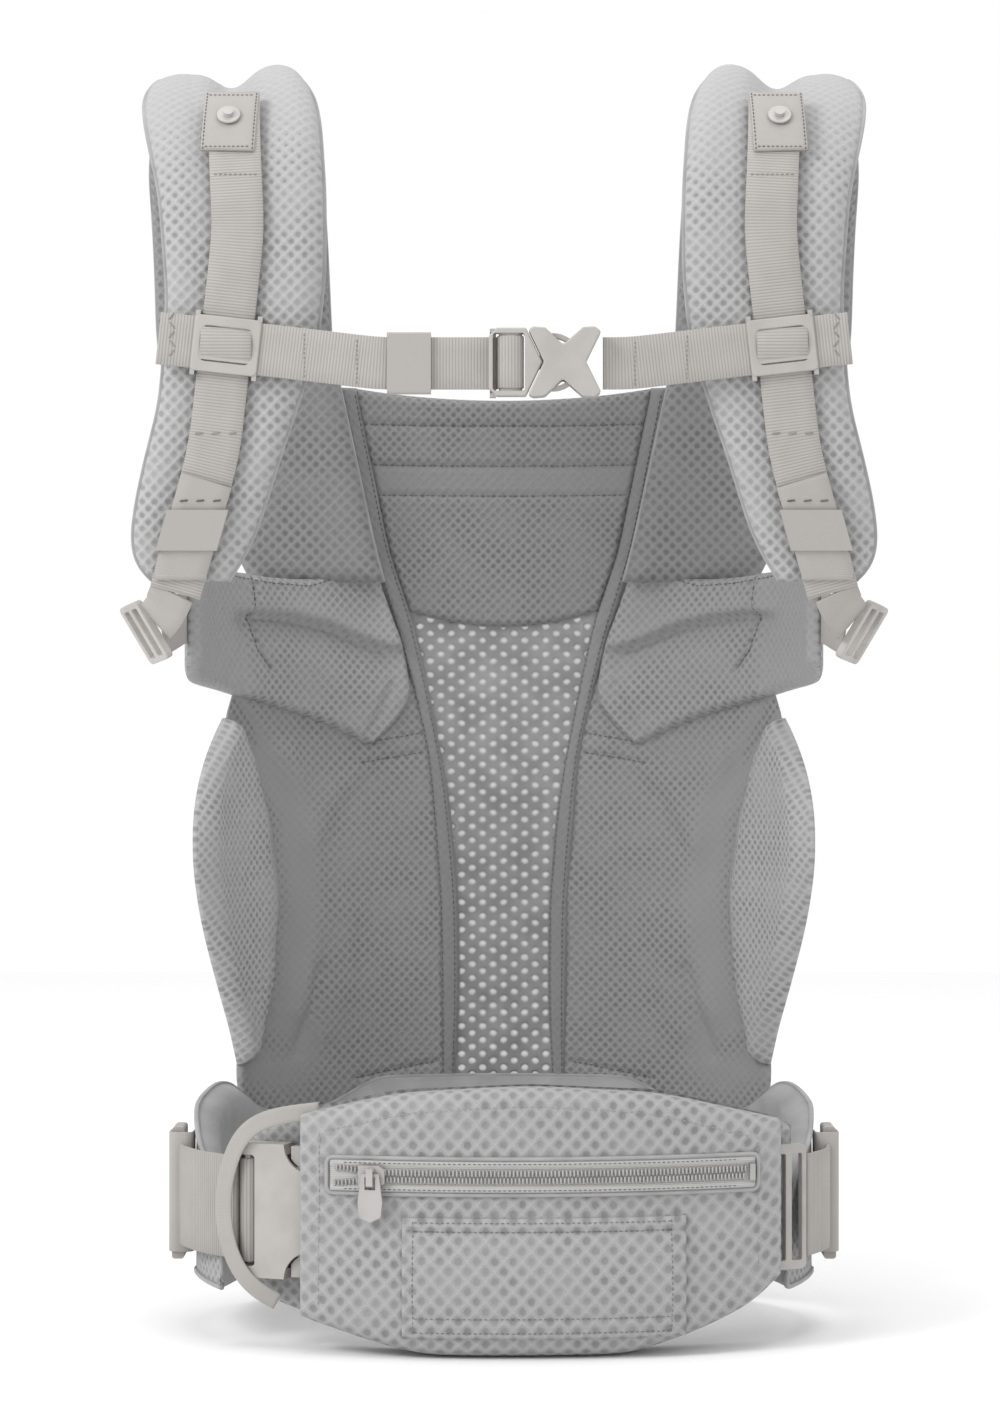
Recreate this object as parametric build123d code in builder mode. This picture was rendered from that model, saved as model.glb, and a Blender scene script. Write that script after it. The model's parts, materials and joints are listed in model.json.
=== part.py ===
"""Soft structured baby carrier, standing in its worn shape, seen from the wearer's back.

+Z is up, +Y is the way the wearer faces, and the origin is on the ground under the middle.
The body panel hangs on the far (+Y) half of the padded waist belt, the shoulder straps arch
over to the near side, and the chest strap, lumbar pad and pouch lie on the wearer's back.
Millimetres throughout.
"""
from build123d import *
from math import asin, atan, cos, degrees, hypot, radians, sin, sqrt
import os

os.makedirs("parts", exist_ok=True)

# ---------------------------------------------------------------- driving dimensions
half_width = 160.0          # half the width of the waist oval
far_depth = 118.0           # reach of the oval to the wearer's front
side_radius = 120.7         # roundness of the belt where it turns to the back
back_centre_y = 206.0       # centre of the wide curve across the back
lumbar_radius = 302.0       # outer face of the lumbar pad, from that centre
tunnel_radius = 316.5       # inner face of the pouch
pouch_radius = 322.0        # outer face of the pouch
belt_inset = 4.0            # the belt lies inside the panel's lower edge
waist_z = 67.0              # height of the waist webbing
chest_z = 475.0             # height of the chest strap at its buckle
chest_y = -112.0            # middle of the chest buckle's thickness
arch_y = 0.5                # middle of the shoulder arch
arch_z = 537.0              # height where the shoulder arch begins
arch_radius = 97.5          # outer radius of the shoulder arch
pad_thickness = 17.0
strap_web = 25.0            # shoulder and chest webbing width
waist_web = 50.0            # waist webbing width
web_thickness = 1.6
reach = 400.0               # longer than the whole carrier, for cutting shapes through

stud_radius = 2.4           # press stud that takes an accessory's snap
stud_height = 2.2

SIDES = (("left", -1), ("right", 1))


# ---------------------------------------------------------------- shared profiles
def mirrored(points, sign):
    """The left-hand points, or their mirror image for the right-hand side."""
    return [(-sign * x, y) for x, y in points]


def front_outline(points, sign=-1, rounding=0.0):
    """A closed outline seen from the back, on the XZ plane."""
    with BuildSketch(Plane.XZ, mode=Mode.PRIVATE) as outline:
        with BuildLine():
            Polyline(mirrored(points, sign), close=True)
        make_face()
        if rounding:
            fillet(outline.vertices(), rounding)
    return outline.sketch


def oval(inset):
    """Plan of the whole waist oval: half an ellipse in front, round sides to the back."""
    side_centre = half_width - side_radius
    side = side_radius - inset
    with BuildSketch(mode=Mode.PRIVATE) as plan:
        with Locations((-side_centre, 0), (side_centre, 0)):
            Circle(side)
        Rectangle(2 * side_centre, 2 * side)
        with Locations((0, -reach / 2)):
            Rectangle(reach, reach, mode=Mode.INTERSECT)
        with BuildLine():
            EllipticalCenterArc((0, 0), half_width - inset, far_depth - inset, arc_size=180)
            Line((-half_width + inset, 0), (half_width - inset, 0))
        make_face()
    return plan.sketch


def oval_band(inset, thickness, near_end=0.0):
    """Plan of a band round the far side of the oval, ending at y = near_end."""
    with BuildSketch(mode=Mode.PRIVATE) as plan:
        add(oval(inset))
        add(oval(inset + thickness), mode=Mode.SUBTRACT)
        with Locations((0, near_end + reach / 2)):
            Rectangle(2 * reach, reach, mode=Mode.INTERSECT)
    return plan.sketch


def back_band(inner, outer, x_from=-150.0, x_to=150.0):
    """Plan of a band on the wide curve across the wearer's back."""
    with BuildSketch(mode=Mode.PRIVATE) as plan:
        with Locations((0, back_centre_y)):
            Circle(outer)
            Circle(inner, mode=Mode.SUBTRACT)
        with Locations(((x_from + x_to) / 2, -reach / 2)):
            Rectangle(x_to - x_from, reach, mode=Mode.INTERSECT)
    return plan.sketch


def back_plane(x, z, radius):
    """Plane touching the back curve at x, its normal pointing away from the wearer."""
    turn = asin(x / radius)
    origin = (x, back_centre_y - radius * cos(turn), z)
    return Plane(origin=origin, x_dir=(cos(turn), sin(turn), 0), z_dir=(sin(turn), -cos(turn), 0))


def arch_profile(lift, thickness, low_far=None, low_near=366.0):
    """Side view of a layer on the shoulder arch, lift outside the pad's outer face."""
    outer = arch_radius + lift
    inner = outer - thickness
    near_bend_z = 440.0
    lean = 13.0 / 74.0
    with BuildSketch(Plane.YZ, mode=Mode.PRIVATE) as profile:
        with BuildLine():
            near_outer = [(arch_y - outer, arch_z), (arch_y - outer, near_bend_z),
                          (arch_y - outer + lean * (near_bend_z - low_near), low_near)]
            near_inner = [(arch_y - inner, arch_z), (arch_y - inner, near_bend_z),
                          (arch_y - inner + lean * (near_bend_z - low_near), low_near)]
            Polyline(near_outer)
            Line(near_outer[-1], near_inner[-1])
            Polyline(near_inner)
            if low_far is None:
                Line((arch_y - outer, arch_z), (arch_y - inner, arch_z))
            else:
                ThreePointArc((arch_y - outer, arch_z), (arch_y, arch_z + outer),
                              (arch_y + outer, arch_z))
                ThreePointArc((arch_y - inner, arch_z), (arch_y, arch_z + inner),
                              (arch_y + inner, arch_z))
                Line((arch_y + outer, arch_z), (arch_y + outer, low_far))
                Line((arch_y + outer, low_far), (arch_y + inner, low_far))
                Line((arch_y + inner, low_far), (arch_y + inner, arch_z))
        make_face()
    return profile.sketch


def ribbon(centre_line, width):
    """Outline of a strap of constant width, measured across X, from its centre points."""
    left_edge = [(x - width / 2, z) for x, z in centre_line]
    right_edge = [(x + width / 2, z) for x, z in reversed(centre_line)]
    return left_edge + right_edge


def strap_layer(profile, outline):
    """The near half of a strap layer: its side view crossed with its outline from the back."""
    with BuildPart() as layer:
        extrude(profile, amount=reach, both=True)
        extrude(outline, amount=reach, mode=Mode.INTERSECT)
    return layer.part


def finish(builder, label):
    """Label a finished piece and write its file."""
    builder.part.label = label
    export_step(builder.part, f"parts/{label}.step")


# ---------------------------------------------------------------- waist belt
belt_top = [(-162, 96), (-158, 107), (-150, 118), (-136, 129), (-114, 130), (-78, 112)]
belt_low = [(-70, 0), (-122, 9), (-160, 28)]
belt_outline = (belt_low[::-1] + [(-x, z) for x, z in belt_low]
                + [(-x, z) for x, z in belt_top] + belt_top[::-1])

for label, inset, thickness in (("belt_cover", belt_inset, 2.5), ("belt_foam", belt_inset + 2.7, 7.0)):
    with BuildPart() as belt_layer:
        extrude(oval_band(inset, thickness, near_end=-50.0), amount=140)
        extrude(front_outline(belt_outline), amount=reach, both=True, mode=Mode.INTERSECT)
    finish(belt_layer, label)

# ---------------------------------------------------------------- body panel
seam_outer = [(-90, 481), (-71.6, 392), (-55.5, 341), (-42, 288), (-35.7, 207.5), (-34, 97)]
seam_inner = [(-79, 481), (-60.8, 392), (-48.3, 358), (-40.2, 320), (-28.9, 261), (-24, 207.5),
              (-23.5, 154), (-26.7, 97)]
crease = [(-118, 131.5), (-134.6, 139), (-124, 169), (-119, 210), (-124, 252), (-146, 297)]
seam_gap = 0.3


def grown(points, step):
    """The same line moved sideways by step."""
    return [(x + step, z) for x, z in points]


mesh_side = grown(seam_inner[2:], seam_gap)
with BuildPart() as center_mesh:
    extrude(oval_band(1.0, 1.6), amount=500)
    mesh_outline = mesh_side + [(-x, z) for x, z in reversed(mesh_side)] + [(0, 354)]
    extrude(front_outline(mesh_outline), amount=reach, both=True, mode=Mode.INTERSECT)
finish(center_mesh, "center_mesh")

head_side = grown(seam_inner[:3], seam_gap)
with BuildPart() as head_panel:
    extrude(oval_band(0.0, 6.0), amount=500)
    head_outline = head_side + [(0, 354.4)] + [(-x, z) for x, z in reversed(head_side)]
    extrude(front_outline(head_outline), amount=reach, both=True, mode=Mode.INTERSECT)
finish(head_panel, "head_panel")

binding_outline = seam_outer + seam_inner[::-1]
seat_outline = (grown(seam_outer[4:], -seam_gap) + [(-110, 97), (-112, 131.5)] + crease
                + [(-135, 316.5), (-108, 305.5), (-80, 292.5), (-44.4, 295.5)])
leg_pad_outline = (grown(crease, -seam_gap) + [(-157, 303), (-161, 276), (-161, 235),
                                               (-153, 177), (-140, 131.5)])
wing_outline = [(-162, 378), (-162, 334), (-146, 322), (-135, 317), (-108, 306), (-80, 293),
                (-45, 296), (-56.5, 341), (-72.5, 390), (-100, 391), (-135, 386)]
PANEL_PIECES = (
    ("panel_binding", binding_outline, 3.0, 0.0),
    ("seat_side", seat_outline, 3.0, 0.0),
    ("leg_pad", leg_pad_outline, 8.0, 0.0),
    ("side_wing", wing_outline, 4.0, -20.0),
)
for side, sign in SIDES:
    for name, outline, thickness, near_end in PANEL_PIECES:
        with BuildPart() as panel_piece:
            extrude(oval_band(0.0, thickness, near_end), amount=500)
            extrude(front_outline(outline, sign), amount=reach, both=True, mode=Mode.INTERSECT)
        finish(panel_piece, f"{name}_{side}")

# ---------------------------------------------------------------- shoulder straps
near_pad = [(-184, 640), (-179, 610), (-166, 560), (-162, 507), (-165.6, 458), (-177.7, 410),
            (-181.5, 384), (-177, 373), (-168, 369), (-126, 379), (-120.9, 392), (-97.8, 464),
            (-89.6, 487), (-87, 520), (-87, 560), (-90, 600), (-95, 640)]
far_pad = [(-184, 640), (-187, 600), (-183, 500), (-165, 430), (-140, 395), (-73.2, 393),
           (-92, 479), (-94, 500), (-95, 640)]
web_line = [(-132, 612), (-127.5, 540), (-139, 435), (-146, 410), (-159, 366)]
web_lift = 3.8              # webbing's outer face outside the pad, so that the sliders pass
tail_line = [(-142.5, 421), (-146, 410), (-156, 376)]
keeper_line = [(-147.4, 405.5), (-153.2, 386)]
keeper_hole_line = [(-145.9, 410.5), (-154.7, 381)]
keeper_wall = 1.2

for side, sign in SIDES:
    with BuildPart() as shoulder_pad:
        middle = Plane.XZ.offset(-arch_y)
        with BuildSketch(middle):
            with BuildLine():
                Polyline(mirrored(near_pad, sign), close=True)
            make_face()
        extrude(amount=reach)
        with BuildSketch(middle):
            with BuildLine():
                Polyline(mirrored(far_pad, sign), close=True)
            make_face()
        extrude(amount=-reach)
        arch = arch_profile(0.0, pad_thickness, low_far=392.0)
        extrude(arch, amount=reach, both=True, mode=Mode.INTERSECT)
    finish(shoulder_pad, f"shoulder_pad_{side}")

    with BuildPart() as shoulder_webbing:
        extrude(arch_profile(web_lift, web_thickness, low_far=540.0), amount=reach, both=True)
        near_half = front_outline(ribbon(web_line, strap_web), sign)
        extrude(near_half, amount=reach, mode=Mode.INTERSECT)
    finish(shoulder_webbing, f"shoulder_webbing_{side}")

    with BuildPart() as webbing_tail:
        tail_profile = arch_profile(web_lift + web_thickness + 0.3, web_thickness)
        extrude(tail_profile, amount=reach, both=True)
        tail_outline = front_outline(ribbon(tail_line, strap_web), sign)
        extrude(tail_outline, amount=reach, mode=Mode.INTERSECT)
    finish(webbing_tail, f"webbing_tail_{side}")

    loop_lift = web_lift + web_thickness + 0.3 + 0.6 + keeper_wall
    loop_depth = 6.6
    loop_hole = strap_layer(arch_profile(loop_lift - keeper_wall, loop_depth - 2 * keeper_wall),
                            front_outline(ribbon(keeper_hole_line, strap_web + 2.0), sign))
    with BuildPart() as strap_keeper:
        extrude(arch_profile(loop_lift, loop_depth), amount=reach, both=True)
        loop_outline = front_outline(ribbon(keeper_line, strap_web + 4.4), sign)
        extrude(loop_outline, amount=reach, mode=Mode.INTERSECT)
        add(loop_hole, mode=Mode.SUBTRACT)
    finish(strap_keeper, f"strap_keeper_{side}")

    # snap stud on its sewn patch, facing out and up on the round of the shoulder
    snap_angle = radians(36)
    snap_normal = (0, -cos(snap_angle), sin(snap_angle))
    snap_radius = arch_radius + web_lift
    snap_origin = (sign * 133.5, arch_y - snap_radius * cos(snap_angle),
                   arch_z + snap_radius * sin(snap_angle))
    snap_plane = Plane(origin=snap_origin, x_dir=(1, 0, 0), z_dir=snap_normal)
    with BuildPart() as anchor_patch:
        patch_outline = ribbon([(-132.5, 611), (-133.5, 578)], strap_web + 1.0)
        extrude(arch_profile(web_lift + 1.2, 0.9, low_far=540.0), amount=reach, both=True)
        extrude(front_outline(patch_outline, sign), amount=reach, mode=Mode.INTERSECT)
        with BuildSketch(snap_plane):
            Circle(3.2)
        extrude(amount=8, both=True, mode=Mode.SUBTRACT)
    finish(anchor_patch, f"anchor_patch_{side}")

    with BuildPart() as snap_stud:
        with BuildSketch(snap_plane.offset(1.5)):
            Circle(5.7)
        extrude(amount=1.2)
        fillet(snap_stud.edges().filter_by(GeomType.CIRCLE).group_by(SortBy.LENGTH)[-1], 0.5)
        with BuildSketch(snap_plane.offset(0.3)):
            Circle(2.9)
        extrude(amount=1.4)
        with BuildSketch(snap_plane.offset(2.7)):
            Circle(stud_radius)
        extrude(amount=stud_height)
    finish(snap_stud, f"snap_stud_{side}")

# ---------------------------------------------------------------- strap adjusters
adjuster_origin = (-176.0, -56.0, 347.5)
adjuster_length = 32.0      # along the bars
adjuster_width = 24.0       # across the bars
webbing_end_z = 366.0


def unit(vector):
    length = sqrt(sum(part * part for part in vector))
    return tuple(part / length for part in vector)


def facing_plane(origin, along, normal_hint):
    """Plane whose x axis runs along one direction and whose normal is nearest to a hint."""
    x_dir = unit(along)
    dot = sum(a * b for a, b in zip(x_dir, normal_hint))
    z_dir = unit(tuple(n - dot * a for n, a in zip(normal_hint, x_dir)))
    return Plane(origin=origin, x_dir=x_dir, z_dir=z_dir)


def strap_between(start, end, width, normal_hint):
    """A short straight piece of webbing from one point to another."""
    along = tuple(b - a for a, b in zip(start, end))
    middle = tuple((a + b) / 2 for a, b in zip(start, end))
    with BuildPart() as strap:
        with BuildSketch(facing_plane(middle, along, normal_hint)):
            Rectangle(sqrt(sum(part * part for part in along)), width)
        extrude(amount=web_thickness / 2, both=True)
    return strap.part


for side, sign in SIDES:
    x, y, z = adjuster_origin
    adjuster_plane = facing_plane((-sign * x, y, z), (-sign * 0.50, 0.12, -0.86),
                                  (sign * 0.80, -0.45, -0.40))
    with BuildPart() as strap_adjuster:
        with BuildSketch(adjuster_plane):
            RectangleRounded(adjuster_length, adjuster_width, 3.0)
            with Locations((0, 5.2), (0, -5.2)):
                RectangleRounded(strap_web + 1.0, 6.4, 0.8, mode=Mode.SUBTRACT)
        extrude(amount=1.9, both=True)
        fillet(strap_adjuster.faces().sort_by(SortBy.AREA)[-2:].edges(), 0.6)
    finish(strap_adjuster, f"strap_adjuster_{side}")

    webbing_end = strap_between((sign * 162.5, -86, webbing_end_z - 7), (sign * 169.5, -68, 353.5),
                                strap_web - 6, (sign * 0.6, -0.6, -0.4))
    webbing_end.label = f"webbing_end_{side}"
    export_step(webbing_end, f"parts/{webbing_end.label}.step")

    wing_loop = strap_between((sign * 159.5, -20.5, 356.0), (sign * 167, -45, 350.0),
                              strap_web, (sign * 0.95, -0.3, 0))
    wing_loop.label = f"wing_loop_{side}"
    export_step(wing_loop, f"parts/{wing_loop.label}.step")

# ---------------------------------------------------------------- chest strap
slider_x = 133.3
slider_z = 484.0
slider_tilt = atan(0.11)    # the shoulder webbing runs in towards the top
web_mid_y = arch_y - arch_radius - web_lift + web_thickness / 2
slider_half_width = 16.0
slider_half_height = 13.5
slider_front = 4.4
slider_back = -2.4
bar_clearance = 0.4
stub_length = 16.0
chest_web_y = -107.2        # middle of the chest webbing beside the buckle
web_half = strap_web / 2
thin = web_thickness / 2


def slider_plane(sign, offset=0.0):
    """Plane in the middle of the shoulder webbing, its normal pointing off the wearer's back."""
    origin = (sign * slider_x, web_mid_y - offset, slider_z)
    return Plane(origin=origin, x_dir=(cos(slider_tilt), 0, sign * sin(slider_tilt)),
                 z_dir=(0, -1, 0))


for side, sign in SIDES:
    with BuildPart() as chest_slider:
        with BuildSketch(slider_plane(sign, thin + bar_clearance)):
            RectangleRounded(2 * slider_half_width, 2 * slider_half_height, 2.5)
            RectangleRounded(24.6, 17.0, 3.0, mode=Mode.SUBTRACT)
        extrude(amount=slider_front - thin - bar_clearance)
        fillet(chest_slider.faces().sort_by(Axis.Y)[0].edges(), 0.7)
        with BuildSketch(slider_plane(sign, slider_back)):
            with Locations((slider_half_width - 1.1, 0), (-slider_half_width + 1.1, 0)):
                Rectangle(2.2, 2 * slider_half_height + 4)
        extrude(amount=slider_front - slider_back - 0.8)
        with BuildSketch(slider_plane(sign, slider_back)):
            with Locations((0, 10.5), (0, -10.5)):
                Rectangle(2 * slider_half_width - 1, 3.4)
        extrude(amount=1.2)
        with BuildSketch(slider_plane(sign, thin + bar_clearance)):
            Rectangle(26.0, 15.6)
        extrude(amount=3.0)
    finish(chest_slider, f"chest_slider_{side}")

web_plan = [(-119, -101.2), (-60, chest_web_y + thin), (-3, chest_web_y + thin),
            (-3, chest_web_y - thin), (-60, chest_web_y - thin), (-119, -102.8)]
web_front = [(-115.7, 494.6), (-60, chest_z + web_half), (-3, chest_z + web_half),
             (-3, chest_z - web_half), (-60, chest_z - web_half), (-118.6, 469.9)]
right_shift = -44.2         # the right-hand webbing stops at the female half's bar
for side, sign in SIDES:
    end_shift = right_shift if sign > 0 else 0.0
    plan_points = [(x + (end_shift if x == -3 else 0), y) for x, y in web_plan]
    front_points = [(x + (end_shift if x == -3 else 0), z) for x, z in web_front]
    with BuildPart() as chest_webbing:
        with BuildSketch():
            with BuildLine():
                Polyline(mirrored(plan_points, sign), close=True)
            make_face()
        extrude(amount=reach * 2)
        extrude(front_outline(front_points, sign), amount=reach, both=True, mode=Mode.INTERSECT)
        with BuildSketch(slider_plane(sign, 0.6)):
            with Locations((sign * (slider_half_width + 0.3 + stub_length / 2), 0)):
                Rectangle(stub_length, strap_web)
        extrude(amount=web_thickness)
    finish(chest_webbing, f"chest_webbing_{side}")

chest_plane = Plane(origin=(0, chest_y, chest_z), x_dir=(1, 0, 0), z_dir=(0, -1, 0))
chest_half_thick = 5.3
x_outline = [(11.5, 15.5), (14, 16.8), (19.5, 16.3), (28, 8.2), (37.5, 16.5), (43, 16.8),
             (46.2, 14.5), (39, 0)]
x_outline += [(u, -v) for u, v in x_outline[-2::-1]] + [(18.9, 0)]
with BuildPart() as chest_buckle_female:
    with BuildSketch(chest_plane):
        with BuildLine():
            Polyline(x_outline, close=True)
        make_face()
    extrude(amount=chest_half_thick, both=True)
    fillet(chest_buckle_female.edges().filter_by(Axis.Y), 1.4)
    fillet(chest_buckle_female.faces().sort_by(Axis.Y)[0].edges(), 0.9)
    with BuildSketch(chest_plane):
        with Locations((21.5, 0)):
            Rectangle(26.5, 29.2)
    extrude(amount=2.7, both=True, mode=Mode.SUBTRACT)
finish(chest_buckle_female, "chest_buckle_female")

male_outline = [(-7.3, 12.5), (-3.5, 16.3), (10.2, 16.3), (10.9, 15.2), (18.2, 0)]
male_outline += [(u, -v) for u, v in male_outline[-2::-1]]
loop_post = 1.8
loop_reach = 9.4            # rear bar behind the middle of the buckle, clear of the webbing
with BuildPart() as chest_buckle_male:
    with BuildSketch(chest_plane.offset(-3.2)):
        with BuildLine():
            Polyline(male_outline, close=True)
        make_face()
    extrude(amount=7.4)
    fillet(chest_buckle_male.edges().filter_by(Axis.Y), 1.0)
    fillet(chest_buckle_male.faces().sort_by(Axis.Y)[0].edges(), 0.9)
    with BuildSketch(chest_plane.offset(-3.2)):
        with Locations((2.2, 0)):
            RectangleRounded(15.4, 27.6, 1.5)
    extrude(amount=7.4, mode=Mode.SUBTRACT)
    with BuildSketch(Plane.XY.offset(chest_z - 14)):
        with Locations((3.0, chest_y - 0.4)):
            Ellipse(5.6, 2.9)
    extrude(amount=28)
    with BuildSketch(chest_plane):
        with Locations((24.5, 0)):
            Rectangle(18, 6.4)
    extrude(amount=2.0, both=True)
    with BuildSketch(chest_plane.offset(-loop_reach)):
        with Locations((-5.4, 0)):
            Rectangle(3.0, 32.6)
    extrude(amount=1.4)
    with BuildSketch(chest_plane.offset(-loop_reach)):
        with Locations((-5.4, 15.4), (-5.4, -15.4)):
            Rectangle(3.0, loop_post)
    extrude(amount=loop_reach - 2.0)
finish(chest_buckle_male, "chest_buckle_male")

prong_line = [(15.8, 9.6), (20, 12.0), (25, 12.5), (30, 10.6), (33, 8.4)]
for name, rise in (("upper", 1), ("lower", -1)):
    with BuildPart() as chest_prong:
        with BuildSketch(chest_plane):
            with BuildLine():
                Spline([(u, rise * v) for u, v in prong_line])
            trace(line_width=2.3)
        extrude(amount=2.1, both=True)
    finish(chest_prong, f"chest_prong_{name}")

keeper_x = -45.5
keeper_width = 21.0
with BuildPart() as chest_keeper:
    with BuildSketch(Plane.YZ.offset(keeper_x - keeper_width / 2)):
        with Locations((chest_web_y, chest_z)):
            RectangleRounded(6.2, strap_web + 4.4, 1.2)
            Rectangle(3.8, strap_web + 2.0, mode=Mode.SUBTRACT)
    extrude(amount=keeper_width)
finish(chest_keeper, "chest_keeper")

# ---------------------------------------------------------------- lumbar pad and pouch
lumbar_outline = [(-127, 98), (-112, 112), (-98, 115), (-50, 126), (12, 129), (75, 125),
                  (134, 110), (142, 104), (142, 45), (122, 24), (92, 10), (60, 0), (-38, 0),
                  (-62, 6), (-98, 17), (-112, 21), (-127, 33)]
with BuildPart() as lumbar_pad:
    extrude(back_band(lumbar_radius - 9.0, lumbar_radius), amount=140)
    extrude(front_outline(lumbar_outline), amount=reach, both=True, mode=Mode.INTERSECT)
finish(lumbar_pad, "lumbar_pad")

pouch_outline = [(-98, 115.5), (-50, 126.5), (12, 130), (75, 126), (134, 111), (134, 36),
                 (120, 22), (92, 10), (60, 0), (-38, 0), (-62, 6), (-98, 17)]
tunnel_low = 30.0
tunnel_high = 103.0
tunnel_cut = back_band(lumbar_radius, tunnel_radius, -150, 150)
with BuildPart() as pouch:
    extrude(back_band(lumbar_radius + 0.4, pouch_radius), amount=140)
    extrude(front_outline(pouch_outline), amount=reach, both=True, mode=Mode.INTERSECT)
    with BuildSketch(Plane.XY.offset(tunnel_low)):
        add(tunnel_cut)
    extrude(amount=tunnel_high - tunnel_low, mode=Mode.SUBTRACT)
finish(pouch, "pouch")


def back_patch(inner, outer, x_from, x_to, low, high):
    """A rectangular patch lying on the curve of the back."""
    with BuildPart() as patch:
        with BuildSketch(Plane.XY.offset(low)):
            add(back_band(inner, outer, x_from, x_to))
        extrude(amount=high - low)
    return patch.part


pouch_face = pouch_radius + 0.3
zip_z = 87.0
slot_pocket = back_patch(pouch_face, pouch_face + 1.2, -48.7, 87.0, 10.5, 67.5)
slot_pocket.label = "slot_pocket"
export_step(slot_pocket, "parts/slot_pocket.step")

zipper_tape = back_patch(pouch_face, pouch_face + 0.8, -83.0, 120.5, zip_z - 7.5, zip_z + 7.5)
zipper_tape.label = "zipper_tape"
export_step(zipper_tape, "parts/zipper_tape.step")

teeth_low = pouch_face + 0.8
teeth_high = teeth_low + 1.3
with BuildPart() as zipper_teeth:
    add(back_patch(teeth_low, teeth_high, -68.0, 118.0, zip_z - 1.9, zip_z + 1.9))
    add(back_patch(teeth_low, teeth_high, -81.0, -68.0, zip_z + 1.5, zip_z + 3.6))
    add(back_patch(teeth_low, teeth_high, -81.0, -68.0, zip_z - 3.6, zip_z - 1.5))
finish(zipper_teeth, "zipper_teeth")

zipper_stop = back_patch(teeth_low, teeth_high + 0.7, 118.3, 121.0, zip_z - 4.0, zip_z + 4.0)
zipper_stop.label = "zipper_stop"
export_step(zipper_stop, "parts/zipper_stop.step")

slider_at = -63.0
slider_gap = 0.4
zip_plane = back_plane(slider_at, zip_z, teeth_high + slider_gap)
pull_pivot = 4.2            # height of the pull's pivot over the slider's underside
pull_thickness = 1.2
with BuildPart() as zipper_slider:
    with BuildSketch(zip_plane):
        with BuildLine():
            Polyline([(-6.4, -5.2), (3.5, -5.2), (6.4, -3.2), (6.4, 3.2), (3.5, 5.2), (-6.4, 5.2)],
                     close=True)
        make_face()
    extrude(amount=2.2)
    fillet(zipper_slider.faces().sort_by(Axis.Y)[0].edges(), 0.6)
    with BuildSketch(zip_plane.offset(2.0)):
        with Locations((0, 3.4), (0, -3.4)):
            Rectangle(3.2, 1.4)
    extrude(amount=pull_pivot + 0.3)
    with BuildSketch(zip_plane.offset(pull_pivot + 1.3)):
        Rectangle(3.2, 8.2)
    extrude(amount=1.0)
finish(zipper_slider, "zipper_slider")

tab_outline = [(-4.2, 1.6), (4.2, 1.6), (6.0, -12.0), (5.2, -19.0), (0, -21.5), (-5.2, -19.0),
               (-6.0, -12.0)]
with BuildPart() as zipper_pull:
    with BuildSketch(zip_plane.offset(pull_pivot - pull_thickness / 2)):
        with BuildLine():
            Polyline(tab_outline, close=True)
        make_face()
        with Locations((0, -2.9)):
            Rectangle(5.2, 6.2, mode=Mode.SUBTRACT)
    extrude(amount=pull_thickness)
    fillet(zipper_pull.edges().filter_by(Axis(zip_plane.origin, zip_plane.z_dir)), 0.4)
finish(zipper_pull, "zipper_pull")

# ---------------------------------------------------------------- waist buckle and webbing
buckle_at = -106.0
track_radius = 309.2        # middle of the buckle and webbing, on the curve of the back
buckle_plane = back_plane(buckle_at, waist_z, track_radius)
buckle_half_thick = 5.75
buckle_half_length = 25.0
buckle_half_height = 32.5
male_inner = 306.0
male_outer = 312.4
thumb_at = (15.0, 32.5)     # middle of the round side notch where the prong shows
notch_radius = 13.3
bar_at = -18.5              # webbing bar of the female half


def on_track(inner, outer, low=30.0, high=104.0):
    """A solid shell on the buckle's curved track, to be crossed with an outline."""
    with BuildPart() as shell:
        with BuildSketch(Plane.XY.offset(low)):
            add(back_band(inner, outer))
        extrude(amount=high - low)
    return shell.part


cavity_shell = on_track(male_inner - 0.8, male_outer + 0.8)
with BuildPart() as buckle_cavity:
    with BuildSketch(buckle_plane):
        with Locations((12.0, 0)):
            Rectangle(32, 55)
    extrude(amount=12, both=True)
    add(cavity_shell, mode=Mode.INTERSECT)

with BuildPart() as waist_buckle_female:
    with BuildSketch(buckle_plane):
        RectangleRounded(2 * buckle_half_length, 2 * buckle_half_height, 3.5)
        with Locations((bar_at - 0.2, 0)):
            RectangleRounded(10.0, 54.0, 2.0, mode=Mode.SUBTRACT)
        with Locations(thumb_at, (thumb_at[0], -thumb_at[1])):
            Circle(notch_radius, mode=Mode.SUBTRACT)
    extrude(amount=buckle_half_thick, both=True)
    front_face = waist_buckle_female.faces().sort_by(Axis.Y)[0]
    fillet(front_face.outer_wire().edges(), 1.2)
    add(buckle_cavity.part, mode=Mode.SUBTRACT)
finish(waist_buckle_female, "waist_buckle_female")

male_shell = on_track(male_inner, male_outer)
with BuildPart() as waist_buckle_male:
    with BuildSketch(buckle_plane):
        with Locations((36.0, 0)):
            RectangleRounded(20.8, 48.0, 2.5)
        with Locations((31.2, 0)):
            Rectangle(11.2, 40.0)
        with Locations((33.4, 0), (41.4, 0)):
            Rectangle(3.8, 41.0, mode=Mode.SUBTRACT)
        with Locations((14.0, 0)):
            Rectangle(25.0, 10.0)
    extrude(amount=14, both=True)
    add(male_shell, mode=Mode.INTERSECT)
finish(waist_buckle_male, "waist_buckle_male")

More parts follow.
